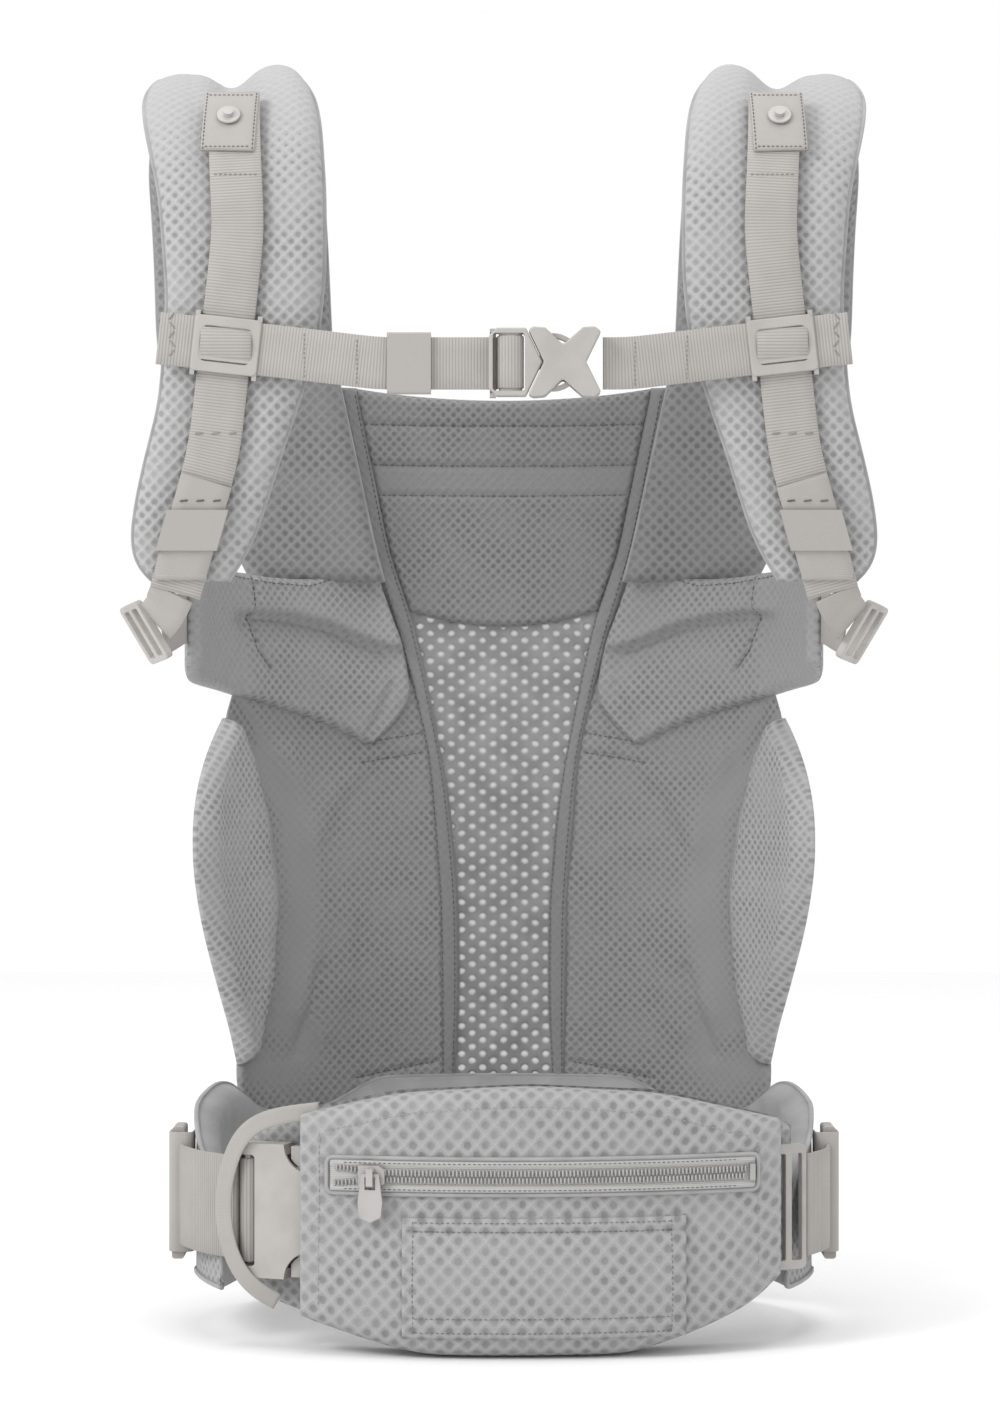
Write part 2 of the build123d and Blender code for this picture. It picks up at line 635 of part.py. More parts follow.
for name, rise in (("upper", 1), ("lower", -1)):
    with BuildPart() as waist_prong:
        with BuildSketch(buckle_plane):
            with Locations((thumb_at[0], rise * thumb_at[1])):
                Circle(notch_radius - 0.8)
            with Locations((14.75, rise * 25.8)):
                Rectangle(20.5, 11.6, mode=Mode.INTERSECT)
            with BuildLine():
                Polyline([(5, rise * 21.6), (17, rise * 21.6), (23.6, rise * 18.6),
                          (25.0, rise * 17.0), (23.6, rise * 15.2), (7, rise * 16.6)], close=True)
            make_face()
        extrude(amount=14, both=True)
        add(male_shell, mode=Mode.INTERSECT)
    finish(waist_prong, f"waist_prong_{name}")

side_web_x = 163.5          # side webbing, outside the belt
side_web_turn_y = -8.0
web_ends = {"left": (126.5, -77.0), "right": (148.0, -64.5)}
for side, sign in SIDES:
    end_x, end_y = web_ends[side]
    with BuildPart() as waist_webbing:
        with BuildSketch(Plane.XY.offset(waist_z - waist_web / 2)):
            with BuildLine():
                start = (sign * side_web_x, 30.0)
                turn = (sign * side_web_x, side_web_turn_y)
                Line(start, turn)
                TangentArc(turn, (sign * end_x, end_y), tangent=(0, -1))
            trace(line_width=2.0)
        extrude(amount=waist_web)
        if sign < 0:
            with BuildSketch(Plane.XY.offset(waist_z - waist_web / 2)):
                with Locations(buckle_plane.from_local_coords(Vector(bar_at, 0, 0))):
                    Circle(4.0)
            extrude(amount=waist_web)
    finish(waist_webbing, f"waist_webbing_{side}")

    with BuildPart() as waist_keeper:
        with BuildSketch(Plane.XZ.offset(19.0)):
            with Locations((sign * side_web_x, waist_z)):
                RectangleRounded(6.2, 66.0, 1.6)
                Rectangle(3.8, 58.0, mode=Mode.SUBTRACT)
        extrude(amount=-23.0)
    finish(waist_keeper, f"waist_keeper_{side}")

triglide_plane = back_plane(138.0, waist_z, track_radius)
with BuildPart() as waist_triglide:
    with BuildSketch(triglide_plane):
        RectangleRounded(20.0, 61.0, 3.0)
        with Locations((4.6, 0), (-4.6, 0)):
            RectangleRounded(5.6, 52.0, 1.0, mode=Mode.SUBTRACT)
    extrude(amount=1.9, both=True)
    fillet(waist_triglide.faces().sort_by(SortBy.AREA)[-2:].edges(), 0.5)
finish(waist_triglide, "waist_triglide")

with BuildPart() as tunnel_webbing:
    with BuildSketch(Plane.XY.offset(waist_z - waist_web / 2)):
        add(back_band(track_radius - 1.0, track_radius + 1.0, -57.0, 125.0))
    extrude(amount=waist_web)
finish(tunnel_webbing, "tunnel_webbing")

safety_plane = back_plane(-124.0, waist_z, track_radius + 8.0)
with BuildPart() as safety_loop:
    with BuildSketch(safety_plane):
        with BuildLine():
            ThreePointArc((8.0, 45.0), (-13.0, 0.0), (4.0, -40.0))
        trace(line_width=10.0)
    extrude(amount=1.2)
finish(safety_loop, "safety_loop")
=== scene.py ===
"""Soft structured baby carrier: fabric, padding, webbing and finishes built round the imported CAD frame.

Lengths are millimetres in the code and metres in the meshes. +Z is up, +Y is the way the wearer faces.
"""
import json
import math
import random

import bmesh
import bpy
import numpy as np
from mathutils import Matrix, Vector
from mathutils.bvhtree import BVHTree


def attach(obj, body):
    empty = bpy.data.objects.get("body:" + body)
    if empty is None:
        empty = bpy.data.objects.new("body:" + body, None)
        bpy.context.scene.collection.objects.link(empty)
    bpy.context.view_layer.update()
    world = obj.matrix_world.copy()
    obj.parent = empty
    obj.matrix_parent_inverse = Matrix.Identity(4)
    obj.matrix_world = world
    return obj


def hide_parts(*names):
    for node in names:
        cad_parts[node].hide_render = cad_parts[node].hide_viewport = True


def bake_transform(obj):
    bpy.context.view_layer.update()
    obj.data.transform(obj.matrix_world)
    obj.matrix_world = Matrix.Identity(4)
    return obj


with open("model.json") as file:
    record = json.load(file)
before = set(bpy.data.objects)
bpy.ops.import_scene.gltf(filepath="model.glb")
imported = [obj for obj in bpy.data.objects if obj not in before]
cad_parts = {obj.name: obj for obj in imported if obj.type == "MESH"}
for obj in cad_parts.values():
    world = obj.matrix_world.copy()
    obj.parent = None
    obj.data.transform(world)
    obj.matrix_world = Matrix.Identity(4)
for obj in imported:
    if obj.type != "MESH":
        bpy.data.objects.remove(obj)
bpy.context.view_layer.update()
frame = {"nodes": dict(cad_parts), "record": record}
random.seed(7)
MM = 0.001
SIDES = (("left", -1), ("right", 1))
NODE_BODY = {n: body for body, members in frame["record"]["behaviour"]["bodies"].items() for n in members}


# ---------------------------------------------------------------- materials
def lin(*rgb):
    """Linear colour from 0-255 display values."""
    return tuple(((c / 255 + 0.055) / 1.055) ** 2.4 if c > 10 else c / 3294.6 for c in rgb) + (1.0,)


class Shader:
    """A small helper round one material's node tree."""

    def __init__(self, name, roughness=0.8, sheen=0.0, specular=0.5, coat=0.0):
        self.mat = bpy.data.materials.new(name)
        self.mat.use_nodes = True
        self.tree = self.mat.node_tree
        self.bsdf = self.tree.nodes["Principled BSDF"]
        self.bsdf.inputs["Roughness"].default_value = roughness
        self.bsdf.inputs["Sheen Weight"].default_value = sheen
        self.bsdf.inputs["Sheen Roughness"].default_value = 0.5
        self.bsdf.inputs["Specular IOR Level"].default_value = specular
        self.bsdf.inputs["Coat Weight"].default_value = coat
        self.bsdf.inputs["Coat Roughness"].default_value = 0.3

    def add(self, kind, **props):
        node = self.tree.nodes.new(kind)
        for key, value in props.items():
            setattr(node, key, value)
        return node

    def put(self, socket, value):
        if isinstance(value, bpy.types.NodeSocket):
            self.tree.links.new(value, socket)
        else:
            socket.default_value = value

    def math(self, operation, a, b=0.0, c=0.0, clamp=False):
        node = self.add("ShaderNodeMath", operation=operation, use_clamp=clamp)
        for socket, value in zip(node.inputs, (a, b, c)):
            self.put(socket, value)
        return node.outputs[0]

    def times(self, a, b):
        return self.math("MULTIPLY", a, b)

    def plus(self, a, b):
        return self.math("ADD", a, b)

    def minus(self, a, b):
        return self.math("SUBTRACT", a, b)

    def crossing(self, along, drift):
        """One family of the lattice's lines: |sin| across a slanting coordinate."""
        return self.math("ABSOLUTE", self.math("SINE", self.times(self.plus(along, drift), math.pi)))

    def attribute(self, name):
        node = self.add("ShaderNodeAttribute", attribute_name=name)
        split = self.add("ShaderNodeSeparateXYZ")
        self.tree.links.new(node.outputs["Vector"], split.inputs[0])
        return node.outputs["Vector"], split.outputs[0], split.outputs[1]

    def place(self):
        return self.add("ShaderNodeTexCoord").outputs["Object"]

    def noise(self, vector, scale, detail=2.0, rough=0.5):
        node = self.add("ShaderNodeTexNoise")
        self.put(node.inputs["Vector"], vector)
        for key, value in (("Scale", scale), ("Detail", detail), ("Roughness", rough)):
            node.inputs[key].default_value = value
        return node.outputs[0]

    def ramp(self, value, low, high, to_low=0.0, to_high=1.0):
        node = self.add("ShaderNodeMapRange", interpolation_type="SMOOTHSTEP")
        self.put(node.inputs[0], value)
        for i, number in enumerate((low, high, to_low, to_high)):
            node.inputs[i + 1].default_value = number
        return node.outputs[0]

    def mix(self, factor, a, b):
        node = self.add("ShaderNodeMix", data_type="RGBA")
        self.put(node.inputs[0], factor)
        self.put(node.inputs[6], a)
        self.put(node.inputs[7], b)
        return node.outputs[2]

    def wave(self, value, pitch):
        """0..1 wave of that pitch along a coordinate."""
        turned = self.times(value, 2 * math.pi / pitch)
        return self.math("MULTIPLY_ADD", self.math("SINE", turned), 0.5, 0.5)

    def bump(self, height, distance, strength=1.0, under=None):
        node = self.add("ShaderNodeBump")
        node.inputs["Distance"].default_value = distance
        node.inputs["Strength"].default_value = strength
        self.put(node.inputs["Height"], height)
        if under is not None:
            self.put(node.inputs["Normal"], under)
        return node.outputs[0]

    def finish(self, colour, normal=None, roughness=None):
        self.put(self.bsdf.inputs["Base Color"], colour)
        if normal is not None:
            self.put(self.bsdf.inputs["Normal"], normal)
        if roughness is not None:
            self.put(self.bsdf.inputs["Roughness"], roughness)
        return self.mat


def spacer_mesh(name, ridge, middle, cell):
    """Spacer fabric: a lattice of thin raised ridges round soft pits; the pits' darker colour is painted shade and
    the ridges' lighter colour a painted highlight.
    """
    s = Shader(name, roughness=0.9, sheen=0.12, specular=0.2)
    packed, across, up = s.attribute("cell")
    extra = s.add("ShaderNodeSeparateXYZ")
    s.put(extra.inputs[0], packed)
    clear = s.math("SUBTRACT", 1.0, extra.outputs[2], clamp=True)
    vector, _, _ = s.attribute("cloth")
    drift = s.math("MULTIPLY_ADD", s.noise(vector, 0.22, 2.0), 0.16, -0.08)
    lines = s.times(s.crossing(s.plus(across, up), drift), s.crossing(s.minus(across, up), drift))
    pit = s.times(lines, clear)
    fluff = s.noise(vector, 1.3, 5.0, 0.75)
    patchy = s.ramp(s.noise(vector, 0.04, 3.0), 0.32, 0.66, 0.35, 1.0)
    ragged = s.plus(pit, s.math("MULTIPLY_ADD", fluff, 1.1, -0.55))
    # painted shade: the hollows of the pits take the darker cell colour
    pit_shade = s.times(s.ramp(ragged, 0.42, 0.82), patchy)
    # painted highlight: the raised ridge lines take the lighter ridge colour
    line = s.times(s.ramp(ragged, 0.22, -0.1, 0.0, 0.8), clear)
    fine = s.ramp(s.noise(vector, 4.5, 2.0, 0.6), 0.3, 0.7, 0.0, 0.22)
    colour = s.mix(fine, s.mix(line, s.mix(pit_shade, middle, cell), ridge), cell)
    knit = s.bump(s.noise(vector, 3.4, 3.0, 0.7), 0.0004, 0.55)
    return s.finish(colour, s.bump(s.times(pit, -1.0), 0.0007, 0.6, knit))


def knit_cloth(name, light, dark, pitch=0.7, strength=0.35, sheen=0.15, rough=0.85):
    """Fine plain cloth: lining, binding and open mesh yarn."""
    s = Shader(name, roughness=rough, sheen=sheen, specular=0.25)
    vector, across, up = s.attribute("cloth")
    weave = s.times(s.wave(s.plus(across, up), pitch), s.wave(s.minus(across, up), pitch))
    cloud = s.noise(vector, 0.06, 4.0)
    grain = s.noise(vector, 3.0, 2.0, 0.7)
    tone = s.plus(s.times(cloud, 0.55), s.times(grain, 0.45))
    colour = s.mix(s.ramp(tone, 0.32, 0.68), light, dark)
    return s.finish(colour, s.bump(s.plus(weave, grain), 0.0002, strength))


def webbing(name, light, dark, pitch=1.55, strength=0.7):
    """Woven strap: crossing ribs every pitch, fine lengthwise yarns."""
    s = Shader(name, roughness=0.72, sheen=0.1, specular=0.35)
    vector, across, along = s.attribute("cloth")
    ribs = s.math("POWER", s.wave(along, pitch), 0.6)
    yarn = s.wave(across, 0.62)
    grain = s.noise(vector, 2.2, 3.0, 0.7)
    cloud = s.noise(vector, 0.05, 3.0)
    # painted shade: the grooves between the ribs are darkened
    tone = s.plus(s.times(s.minus(1.0, ribs), 0.42), s.plus(s.times(grain, 0.28), s.times(cloud, 0.3)))
    colour = s.mix(s.ramp(tone, 0.15, 0.85), light, dark)
    height = s.plus(ribs, s.times(yarn, 0.25))
    return s.finish(colour, s.bump(height, 0.00028, strength))


def moulded(name, colour, dark, roughness=0.42, coat=0.0):
    """Satin moulded plastic with a faint spark-eroded grain and rubbed patches."""
    s = Shader(name, roughness=roughness, specular=0.5, coat=coat)
    vector = s.place()
    rub = s.noise(vector, 60.0, 4.0)
    grain = s.noise(vector, 2600.0, 2.0)
    tone = s.mix(s.ramp(rub, 0.35, 0.7), colour, dark)
    rough = s.ramp(rub, 0.3, 0.75, roughness - 0.06, roughness + 0.1)
    return s.finish(tone, s.bump(grain, 0.00004, 0.5), rough)


def grey(level, warm=0.0):
    """Display grey, a little warmer where warm is above 0."""
    return lin(level + warm, level, level - warm)


# One spacer fabric in several copies: the panel, seat and wing copies are darker than the pad's, as painted shade
# for the inside of the carrier.
PANEL_PAINTED_SHADE = spacer_mesh("panel_spacer", grey(152), grey(137), grey(108))
SEAT_PAINTED_SHADE = spacer_mesh("seat_spacer", grey(165), grey(150), grey(120))
WING_PAINTED_SHADE = spacer_mesh("wing_spacer", grey(172), grey(157), grey(126))
LEG = spacer_mesh("leg_spacer", grey(186), grey(170), grey(134))
PAD = spacer_mesh("pad_spacer", grey(190), grey(172), grey(138))
POUCH = spacer_mesh("pouch_spacer", grey(180), grey(163), grey(130))
BAND = spacer_mesh("binding_knit", grey(148), grey(139), grey(122))
PIPING = knit_cloth("piping_knit", grey(168), grey(146), 0.7)
OPEN = knit_cloth("open_mesh_yarn", grey(160), grey(132), 0.8, 0.6)
LINING = knit_cloth("smooth_lining_cloth", grey(164), grey(146), 0.5, 0.2)
STRAP = webbing("strap_webbing", grey(170, 4), grey(142, 4), 1.5, 0.5)
SMOOTH_STRAP = webbing("strap_webbing_smooth", grey(167, 4), grey(148, 4), 0.7, 0.25)
WAIST = webbing("waist_webbing_weave", grey(162, 4), grey(134, 4), 1.7, 0.55)
ELASTIC = webbing("elastic_loop", grey(168, 4), grey(140, 4), 1.1, 0.6)
TAPE = webbing("zip_tape_weave", grey(184, 1), grey(162, 1), 0.9, 0.5)
PLASTIC = moulded("satin_plastic", grey(168, 4), grey(160, 4))
TRIM = moulded("painted_trim_metal", grey(170, 3), grey(160, 3), 0.34, 0.2)
TEETH = moulded("zip_teeth_plastic", grey(166, 2), grey(154, 2), 0.45)
THREAD = knit_cloth("seam_thread", grey(108), grey(88), 0.5)
PALE_THREAD = knit_cloth("strap_thread", grey(150, 4), grey(134, 4), 0.5)
POUCH_THREAD = knit_cloth("pouch_thread", grey(168), grey(148), 0.5)
POCKET_THREAD = knit_cloth("pocket_thread", grey(138), grey(116), 0.5)


# ---------------------------------------------------------------- mesh helpers
def run_along(points):
    """Length along a polyline up to each of its points."""
    return np.r_[0.0, np.cumsum(np.linalg.norm(np.diff(points, axis=0), axis=1))]


def resample(points, count, soft=0.0):
    """count points evenly along a polyline, its corners eased over soft millimetres."""
    points = np.asarray(points, float)
    run = run_along(points)
    at = np.linspace(0, run[-1], count)
    line = np.stack([np.interp(at, run, points[:, k]) for k in range(points.shape[1])], 1)
    step = run[-1] / max(count - 1, 1)
    for _ in range(int(2 * (soft / step) ** 2)):
        line[1:-1] = (line[:-2] + 2 * line[1:-1] + line[2:]) / 4
    return line


def span(points):
    return float(np.linalg.norm(np.diff(np.asarray(points, float), axis=0), axis=1).sum())


def coons(left, right, bottom, top, step, soft=6.0):
    """Grid of flat points filling four edges; left and right run upward, bottom and top rightward."""
    rows = max(8, int(max(span(left), span(right)) / step))
    cols = max(8, int(max(span(bottom), span(top)) / step))
    a, b = resample(left, rows, soft), resample(right, rows, soft)
    c, d = resample(bottom, cols, soft), resample(top, cols, soft)
    v = np.linspace(0, 1, rows)[:, None, None]
    u = np.linspace(0, 1, cols)[None, :, None]
    corners = (1 - u) * (1 - v) * a[0] + u * (1 - v) * b[0] + (1 - u) * v * a[-1] + u * v * b[-1]
    return (1 - u) * a[:, None] + u * b[:, None] + (1 - v) * c[None] + v * d[None] - corners


def rectangle(low_x, high_x, low_z, high_z, step):
    sides = [[(x, low_z), (x, high_z)] for x in (low_x, high_x)]
    levels = [[(low_x, z), (high_x, z)] for z in (low_z, high_z)]
    return coons(*sides, *levels, step, 0.0)


def edge_distances(grid):
    """Distances of every grid point from the left, right, bottom and top edges, along the grid."""
    across = np.linalg.norm(np.diff(grid, axis=1), axis=2)
    upward = np.linalg.norm(np.diff(grid, axis=0), axis=2)
    from_left = np.concatenate([np.zeros((grid.shape[0], 1)), np.cumsum(across, 1)], 1)
    from_low = np.concatenate([np.zeros((1, grid.shape[1])), np.cumsum(upward, 0)], 0)
    return from_left, from_left[:, -1:] - from_left, from_low, from_low[-1:] - from_low


def rim(grid, radii):
    """1 inside and 0 at the edges, falling like a quarter circle over each edge's radius."""
    factor = np.ones(grid.shape[:2])
    for distance, radius in zip(edge_distances(grid), radii):
        if radius:
            t = np.clip(distance / radius, 0, 1)
            factor = np.minimum(factor, np.sqrt(np.clip(1 - (1 - t) ** 2, 0, 1)))
    return factor


def near_line(grid, line):
    """Distance of every flat grid point from a polyline."""
    best = np.full(grid.shape[:2], 1e9)
    line = np.asarray(line, float)
    for start, end in zip(line[:-1], line[1:]):
        along = end - start
        t = np.clip(((grid - start) @ along) / max(along @ along, 1e-9), 0, 1)
        best = np.minimum(best, np.linalg.norm(grid - start - t[..., None] * along, axis=2))
    return best


def dent(grid, line, width, depth):
    return depth * np.exp(-(near_line(grid, line) / width) ** 2)


def lattice(u, v, pitch):
    p, q = u / pitch[0], v / pitch[1]
    return (np.abs(np.sin(math.pi * (p + q))) * np.abs(np.sin(math.pi * (p - q)))) ** 0.8


def ripple(u, v, seed, size=30.0):
    """Slow, seeded unevenness between -1 and 1."""
    rng = np.random.default_rng(seed)
    total = np.zeros(np.broadcast(u, v).shape)
    for _ in range(6):
        angle, phase = rng.uniform(0, math.pi), rng.uniform(0, 2 * math.pi)
        length = size * rng.uniform(0.7, 1.8)
        total = total + np.sin(2 * math.pi * (u * math.cos(angle) + v * math.sin(angle)) / length + phase)
    return total / 6


def make_mesh(name, verts, faces, materials, face_material=None, cloth=None, cell=None, smooth=True):
    mesh = bpy.data.meshes.new(name)
    mesh.from_pydata((np.asarray(verts) * MM).tolist(), [], faces)
    for material in materials:
        mesh.materials.append(material)
    if face_material is not None:
        mesh.polygons.foreach_set("material_index", np.asarray(face_material, np.int32))
    for key, values in (("cloth", cloth), ("cell", cell)):
        if values is not None:
            attribute = mesh.attributes.new(key, "FLOAT_VECTOR", "POINT")
            flat = np.zeros((len(verts), 3), np.float32)
            flat[:, :np.shape(values)[1]] = values
            attribute.data.foreach_set("vector", flat.ravel())
    bm = bmesh.new()
    bm.from_mesh(mesh)
    bmesh.ops.recalc_face_normals(bm, faces=bm.faces)
    bm.to_mesh(mesh)
    bm.free()
    mesh.polygons.foreach_set("use_smooth", np.full(len(mesh.polygons), smooth))
    mesh.update()
    obj = bpy.data.objects.new(name, mesh)
    bpy.context.scene.collection.objects.link(obj)
    return obj


def grid_faces(rows, cols, start=0):
    i = np.arange(rows - 1)[:, None] * cols + np.arange(cols - 1)[None] + start
    return np.stack([i, i + 1, i + cols + 1, i + cols], -1).reshape(-1, 4)


def slab(name, front, back, flat, pitch, materials, dull=None):
    """Closed piece between two grids of the same layout, its front in the first material."""
    rows, cols = front.shape[:2]
    count = rows * cols
    index = np.arange(count).reshape(rows, cols)
    loop = np.r_[index[0, :], index[1:, -1], index[-1, -2::-1], index[-2:0:-1, 0]]
    following = np.roll(loop, -1)
    sides = np.stack([loop, loop + count, following + count, following], -1)
    face_grid = grid_faces(rows, cols)
    faces = np.concatenate([face_grid, face_grid[:, ::-1] + count, sides])
    which = np.r_[np.zeros(len(face_grid)), np.ones(len(face_grid)), np.zeros(len(sides))]
    verts = np.concatenate([front.reshape(-1, 3), back.reshape(-1, 3)])
    cloth = np.concatenate([flat.reshape(-1, 2)] * 2)
    dull = np.zeros(count) if dull is None else np.clip(np.broadcast_to(dull, (rows, cols)), 0, 1).ravel()
    cell = np.concatenate([cloth / np.asarray(pitch), np.r_[dull, dull * 0][:, None]], 1)
    return make_mesh(name, verts, faces.tolist(), materials, which, cloth, cell)


def settle(obj, nodes, body=None):
    """Ride on a body and stand for CAD nodes, hiding them."""
    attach(obj, body or NODE_BODY[nodes[0]])
    if nodes:
        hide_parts(*nodes)
    return obj


def ride_between(obj, node, before, after, start, end):
    """Webbing that stands for one CAD node, its mesh baked in place; before, after, start and end are not used."""
    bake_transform(obj)
    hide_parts(node)


def surface_of(obj):
    mesh = obj.data
    return BVHTree.FromPolygons([v.co.copy() for v in mesh.vertices], [tuple(p.vertices) for p in mesh.polygons])


def unit(vectors):
    vectors = np.asarray(vectors, float)
    return vectors / np.maximum(np.linalg.norm(vectors, axis=-1, keepdims=True), 1e-9)


def tangents(points):
    return unit(np.gradient(np.asarray(points, float), axis=0))


def strap(name, centre, across, width, thickness, material, wobble=0.15):
    """Flat webbing along centre, its width along across, with soft edges."""
    centre = np.asarray(centre, float)
    count = len(centre)
    along = tangents(centre)
    across = np.broadcast_to(np.asarray(across, float), centre.shape)
    across = unit(across - (across * along).sum(1, keepdims=True) * along)
    normal = unit(np.cross(along, across))
    half, thin = width / 2, thickness / 2
    ring = [(-half, -thin * 0.5), (-half, thin * 0.5), (-half + 0.4, thin), (-half * 0.5, thin), (0, thin),
            (half * 0.5, thin), (half - 0.4, thin), (half, thin * 0.5), (half, -thin * 0.5),
            (half - 0.4, -thin), (half * 0.5, -thin), (0, -thin), (-half * 0.5, -thin), (-half + 0.4, -thin)]
    ring = np.asarray(ring)
    run = run_along(centre)
    wave = wobble * ripple(ring[None, :, 0], run[:, None], count, 24.0)
    a = np.broadcast_to(ring[None, :, 0], (count, len(ring)))
    h = ring[None, :, 1] + wave
    verts = centre[:, None] + a[..., None] * across[:, None] + h[..., None] * normal[:, None]
    m = len(ring)
    faces = []
    for i in range(count - 1):
        for j in range(m):
            k = (j + 1) % m
            faces.append([i * m + j, i * m + k, (i + 1) * m + k, (i + 1) * m + j])
    faces.append(list(range(m))[::-1])
    faces.append([(count - 1) * m + j for j in range(m)])
    cloth = np.stack([a, np.broadcast_to(run[:, None], (count, m))], -1).reshape(-1, 2)
    return make_mesh(name, verts.reshape(-1, 3), faces, [material], None, cloth, cloth / 6.0)


class Stitches:
    """Collects single stitches, one mesh for each body and thread."""

    def __init__(self):
        self.sets = {}

    def run(self, points, normals, body, thread=THREAD, pitch=3.0, length=2.1, radius=0.3):
        points, normals = np.asarray(points, float), np.asarray(normals, float)
        if len(points) < 2:
            return
        run = run_along(points)
        middles = np.arange(pitch / 2, run[-1], pitch)
        at = lambda where, data: np.stack([np.interp(where, run, data[:, k]) for k in range(3)], 1)
        start, end = at(middles - length / 2, points), at(middles + length / 2, points)
        up = unit(at(middles, normals))
        verts, faces = self.sets.setdefault((body, thread.name), ([], []))
        for a, b, n in zip(start, end, up):
            d = b - a
            s = unit(np.cross(d, n))
            base = len(verts)
            verts.append(a - n * radius * 0.4)
            for t in (0.18, 0.82):
                c = a + d * t
                verts.extend([c + s * radius, c + n * radius, c - s * radius, c - n * radius * 0.6])
            verts.append(b - n * radius * 0.4)
            for j in range(4):
                k = (j + 1) % 4
                faces.append([base, base + 1 + k, base + 1 + j])
                faces.append([base + 1 + j, base + 1 + k, base + 5 + k, base + 5 + j])
                faces.append([base + 5 + j, base + 5 + k, base + 9])

    def bar(self, centre, reach, normal, body, thread, **how):
        """A straight row reaching the same way to both sides of its centre."""
        centre, reach = np.asarray(centre, float), np.asarray(reach, float)
        self.run([centre - reach, centre + reach], [normal] * 2, body, thread, **how)

    def build(self):
        for number, ((body, thread), (verts, faces)) in enumerate(sorted(self.sets.items())):
            cloth = np.asarray(verts)[:, ::2]
            obj = make_mesh(f"stitching_{number:02d}_{body}", verts, faces, [bpy.data.materials[thread]],
                            None, cloth, cloth)
            settle(obj, [], body=body)


stitches = Stitches()


def cast(surface, origins, directions, lift=0.15):
    """Where rays meet a piece: points lifted a little off it, and the surface directions there."""
    points, normals = [], []
    for origin, direction in zip(origins, directions):
        direction = Vector(direction).normalized()
        hit = surface.ray_cast(Vector(origin) * MM, direction)
        if hit[0] is None:
            continue
        normal = hit[1] if hit[1].dot(direction) < 0 else -hit[1]
        points.append(np.array(hit[0]) / MM + np.array(normal) * lift)
        normals.append(np.array(normal))
    return np.array(points), np.array(normals)


# ---------------------------------------------------------------- the waist oval
HALF_WIDTH, FAR_DEPTH, SIDE_RADIUS = 160.0, 118.0, 120.7
phi = np.linspace(0, math.pi / 2, 500)
theta = np.linspace(0, 1.2, 300)[1:]
oval_x = np.r_[HALF_WIDTH * np.sin(phi), HALF_WIDTH - SIDE_RADIUS + SIDE_RADIUS * np.cos(theta)]
oval_y = np.r_[FAR_DEPTH * np.cos(phi), -SIDE_RADIUS * np.sin(theta)]
oval_nx = np.r_[np.sin(phi) / HALF_WIDTH, np.cos(theta)]
oval_ny = np.r_[np.cos(phi) / FAR_DEPTH, -np.sin(theta)]
oval_size = np.hypot(oval_nx, oval_ny)
oval_nx, oval_ny = oval_nx / oval_size, oval_ny / oval_size
oval_run = np.r_[0.0, np.cumsum(np.hypot(np.diff(oval_x), np.diff(oval_y)))]
QUARTER = oval_run[len(phi) - 1]


def round_oval(flat, inset):
    """Points and outward directions on the oval for flat (run, height) points."""
    q, z = flat[..., 0], flat[..., 1]
    side, a = np.sign(q), np.abs(q)
    x, y = np.interp(a, oval_run, oval_x) * side, np.interp(a, oval_run, oval_y)
    nx, ny = np.interp(a, oval_run, oval_nx) * side, np.interp(a, oval_run, oval_ny)
    normal = np.stack([nx, ny, np.zeros_like(nx)], -1)
    return np.stack([x, y, z], -1) - normal * np.asarray(inset)[..., None], normal


def unrolled(points, sign=-1):
    """Flat (run, height) points of a left-hand outline seen from the back, or its mirror image."""
    flat = []
    for x, z in points:
        a = abs(x)
        run = np.interp(a, oval_x[:len(phi)], oval_run[:len(phi)]) + max(0.0, a - HALF_WIDTH) * 10.0
        flat.append((run * math.copysign(1, x) * -sign, z))
    return flat


def true_cloth(face, grid):
    """Cloth coordinates measured along the shaped face, so the knit keeps its size round the edges."""
    middle_row, middle_col = grid.shape[0] // 2, grid.shape[1] // 2
    out = np.empty_like(grid)
    for axis, k in ((1, 0), (0, 1)):
        flat = np.diff(grid, axis=axis)
        scale = np.linalg.norm(np.diff(face, axis=axis), axis=2) / np.maximum(np.linalg.norm(flat, axis=2), 1e-6)
        run = np.cumsum(flat[..., k] * np.clip(scale, 0.6, 3.0), axis=axis)
        run = np.pad(run, ((0, 0), (1, 0)) if axis else ((1, 0), (0, 0)))
        middle = np.s_[:, middle_col:middle_col + 1] if axis else np.s_[middle_row:middle_row + 1, :]
        out[..., k] = grid[..., k][middle] + run - run[middle]
    return out


def oval_piece(name, grid, depth, crown, radii, pitch, materials, inner_field=0.0, outer_field=0.0, relief=0.45,
               least=0.9, inset=0.2, dull=0.0):
    """Padded panel on the oval. Its inner face is the grid's front; fields lift either face."""
    fade = rim(grid, radii)
    body = least + (depth - least) * fade
    cloth = true_cloth(round_oval(grid, body + inset)[0], grid)
    pits = lattice(cloth[..., 0], cloth[..., 1], pitch) * relief * np.clip(fade * 1.6 - 0.3, 0, 1) * (1 - dull)
    swell = crown * fade ** 2
    inner = body + swell - pits + inner_field * np.minimum(fade * 2, 1)
    outer = inset - swell * 0.5 + pits - outer_field * fade
    front, _ = round_oval(grid, inner + inset)
    back, _ = round_oval(grid, outer)
    return slab(name, front, back, cloth, pitch, materials, dull)


def sew_oval(obj, line, body="carrier", thread=THREAD, sides=(1,), step=1.5, **how):
    """Stitches along a flat line on a panel's inner (1) or outer (-1) face."""
    surface = surface_of(obj)
    dense = resample(line, max(3, int(span(line) / step)), 0.0)
    for side in sides:
        origin, normal = round_oval(dense, np.full(len(dense), 60.0 * side))
        points, normals = cast(surface, origin, normal * side)
        stitches.run(points, normals, body, thread, **how)


STEP = 1.35          # spacing of the panels' mesh
PITCH = (5.4, 5.4)   # repeat of their spacer mesh

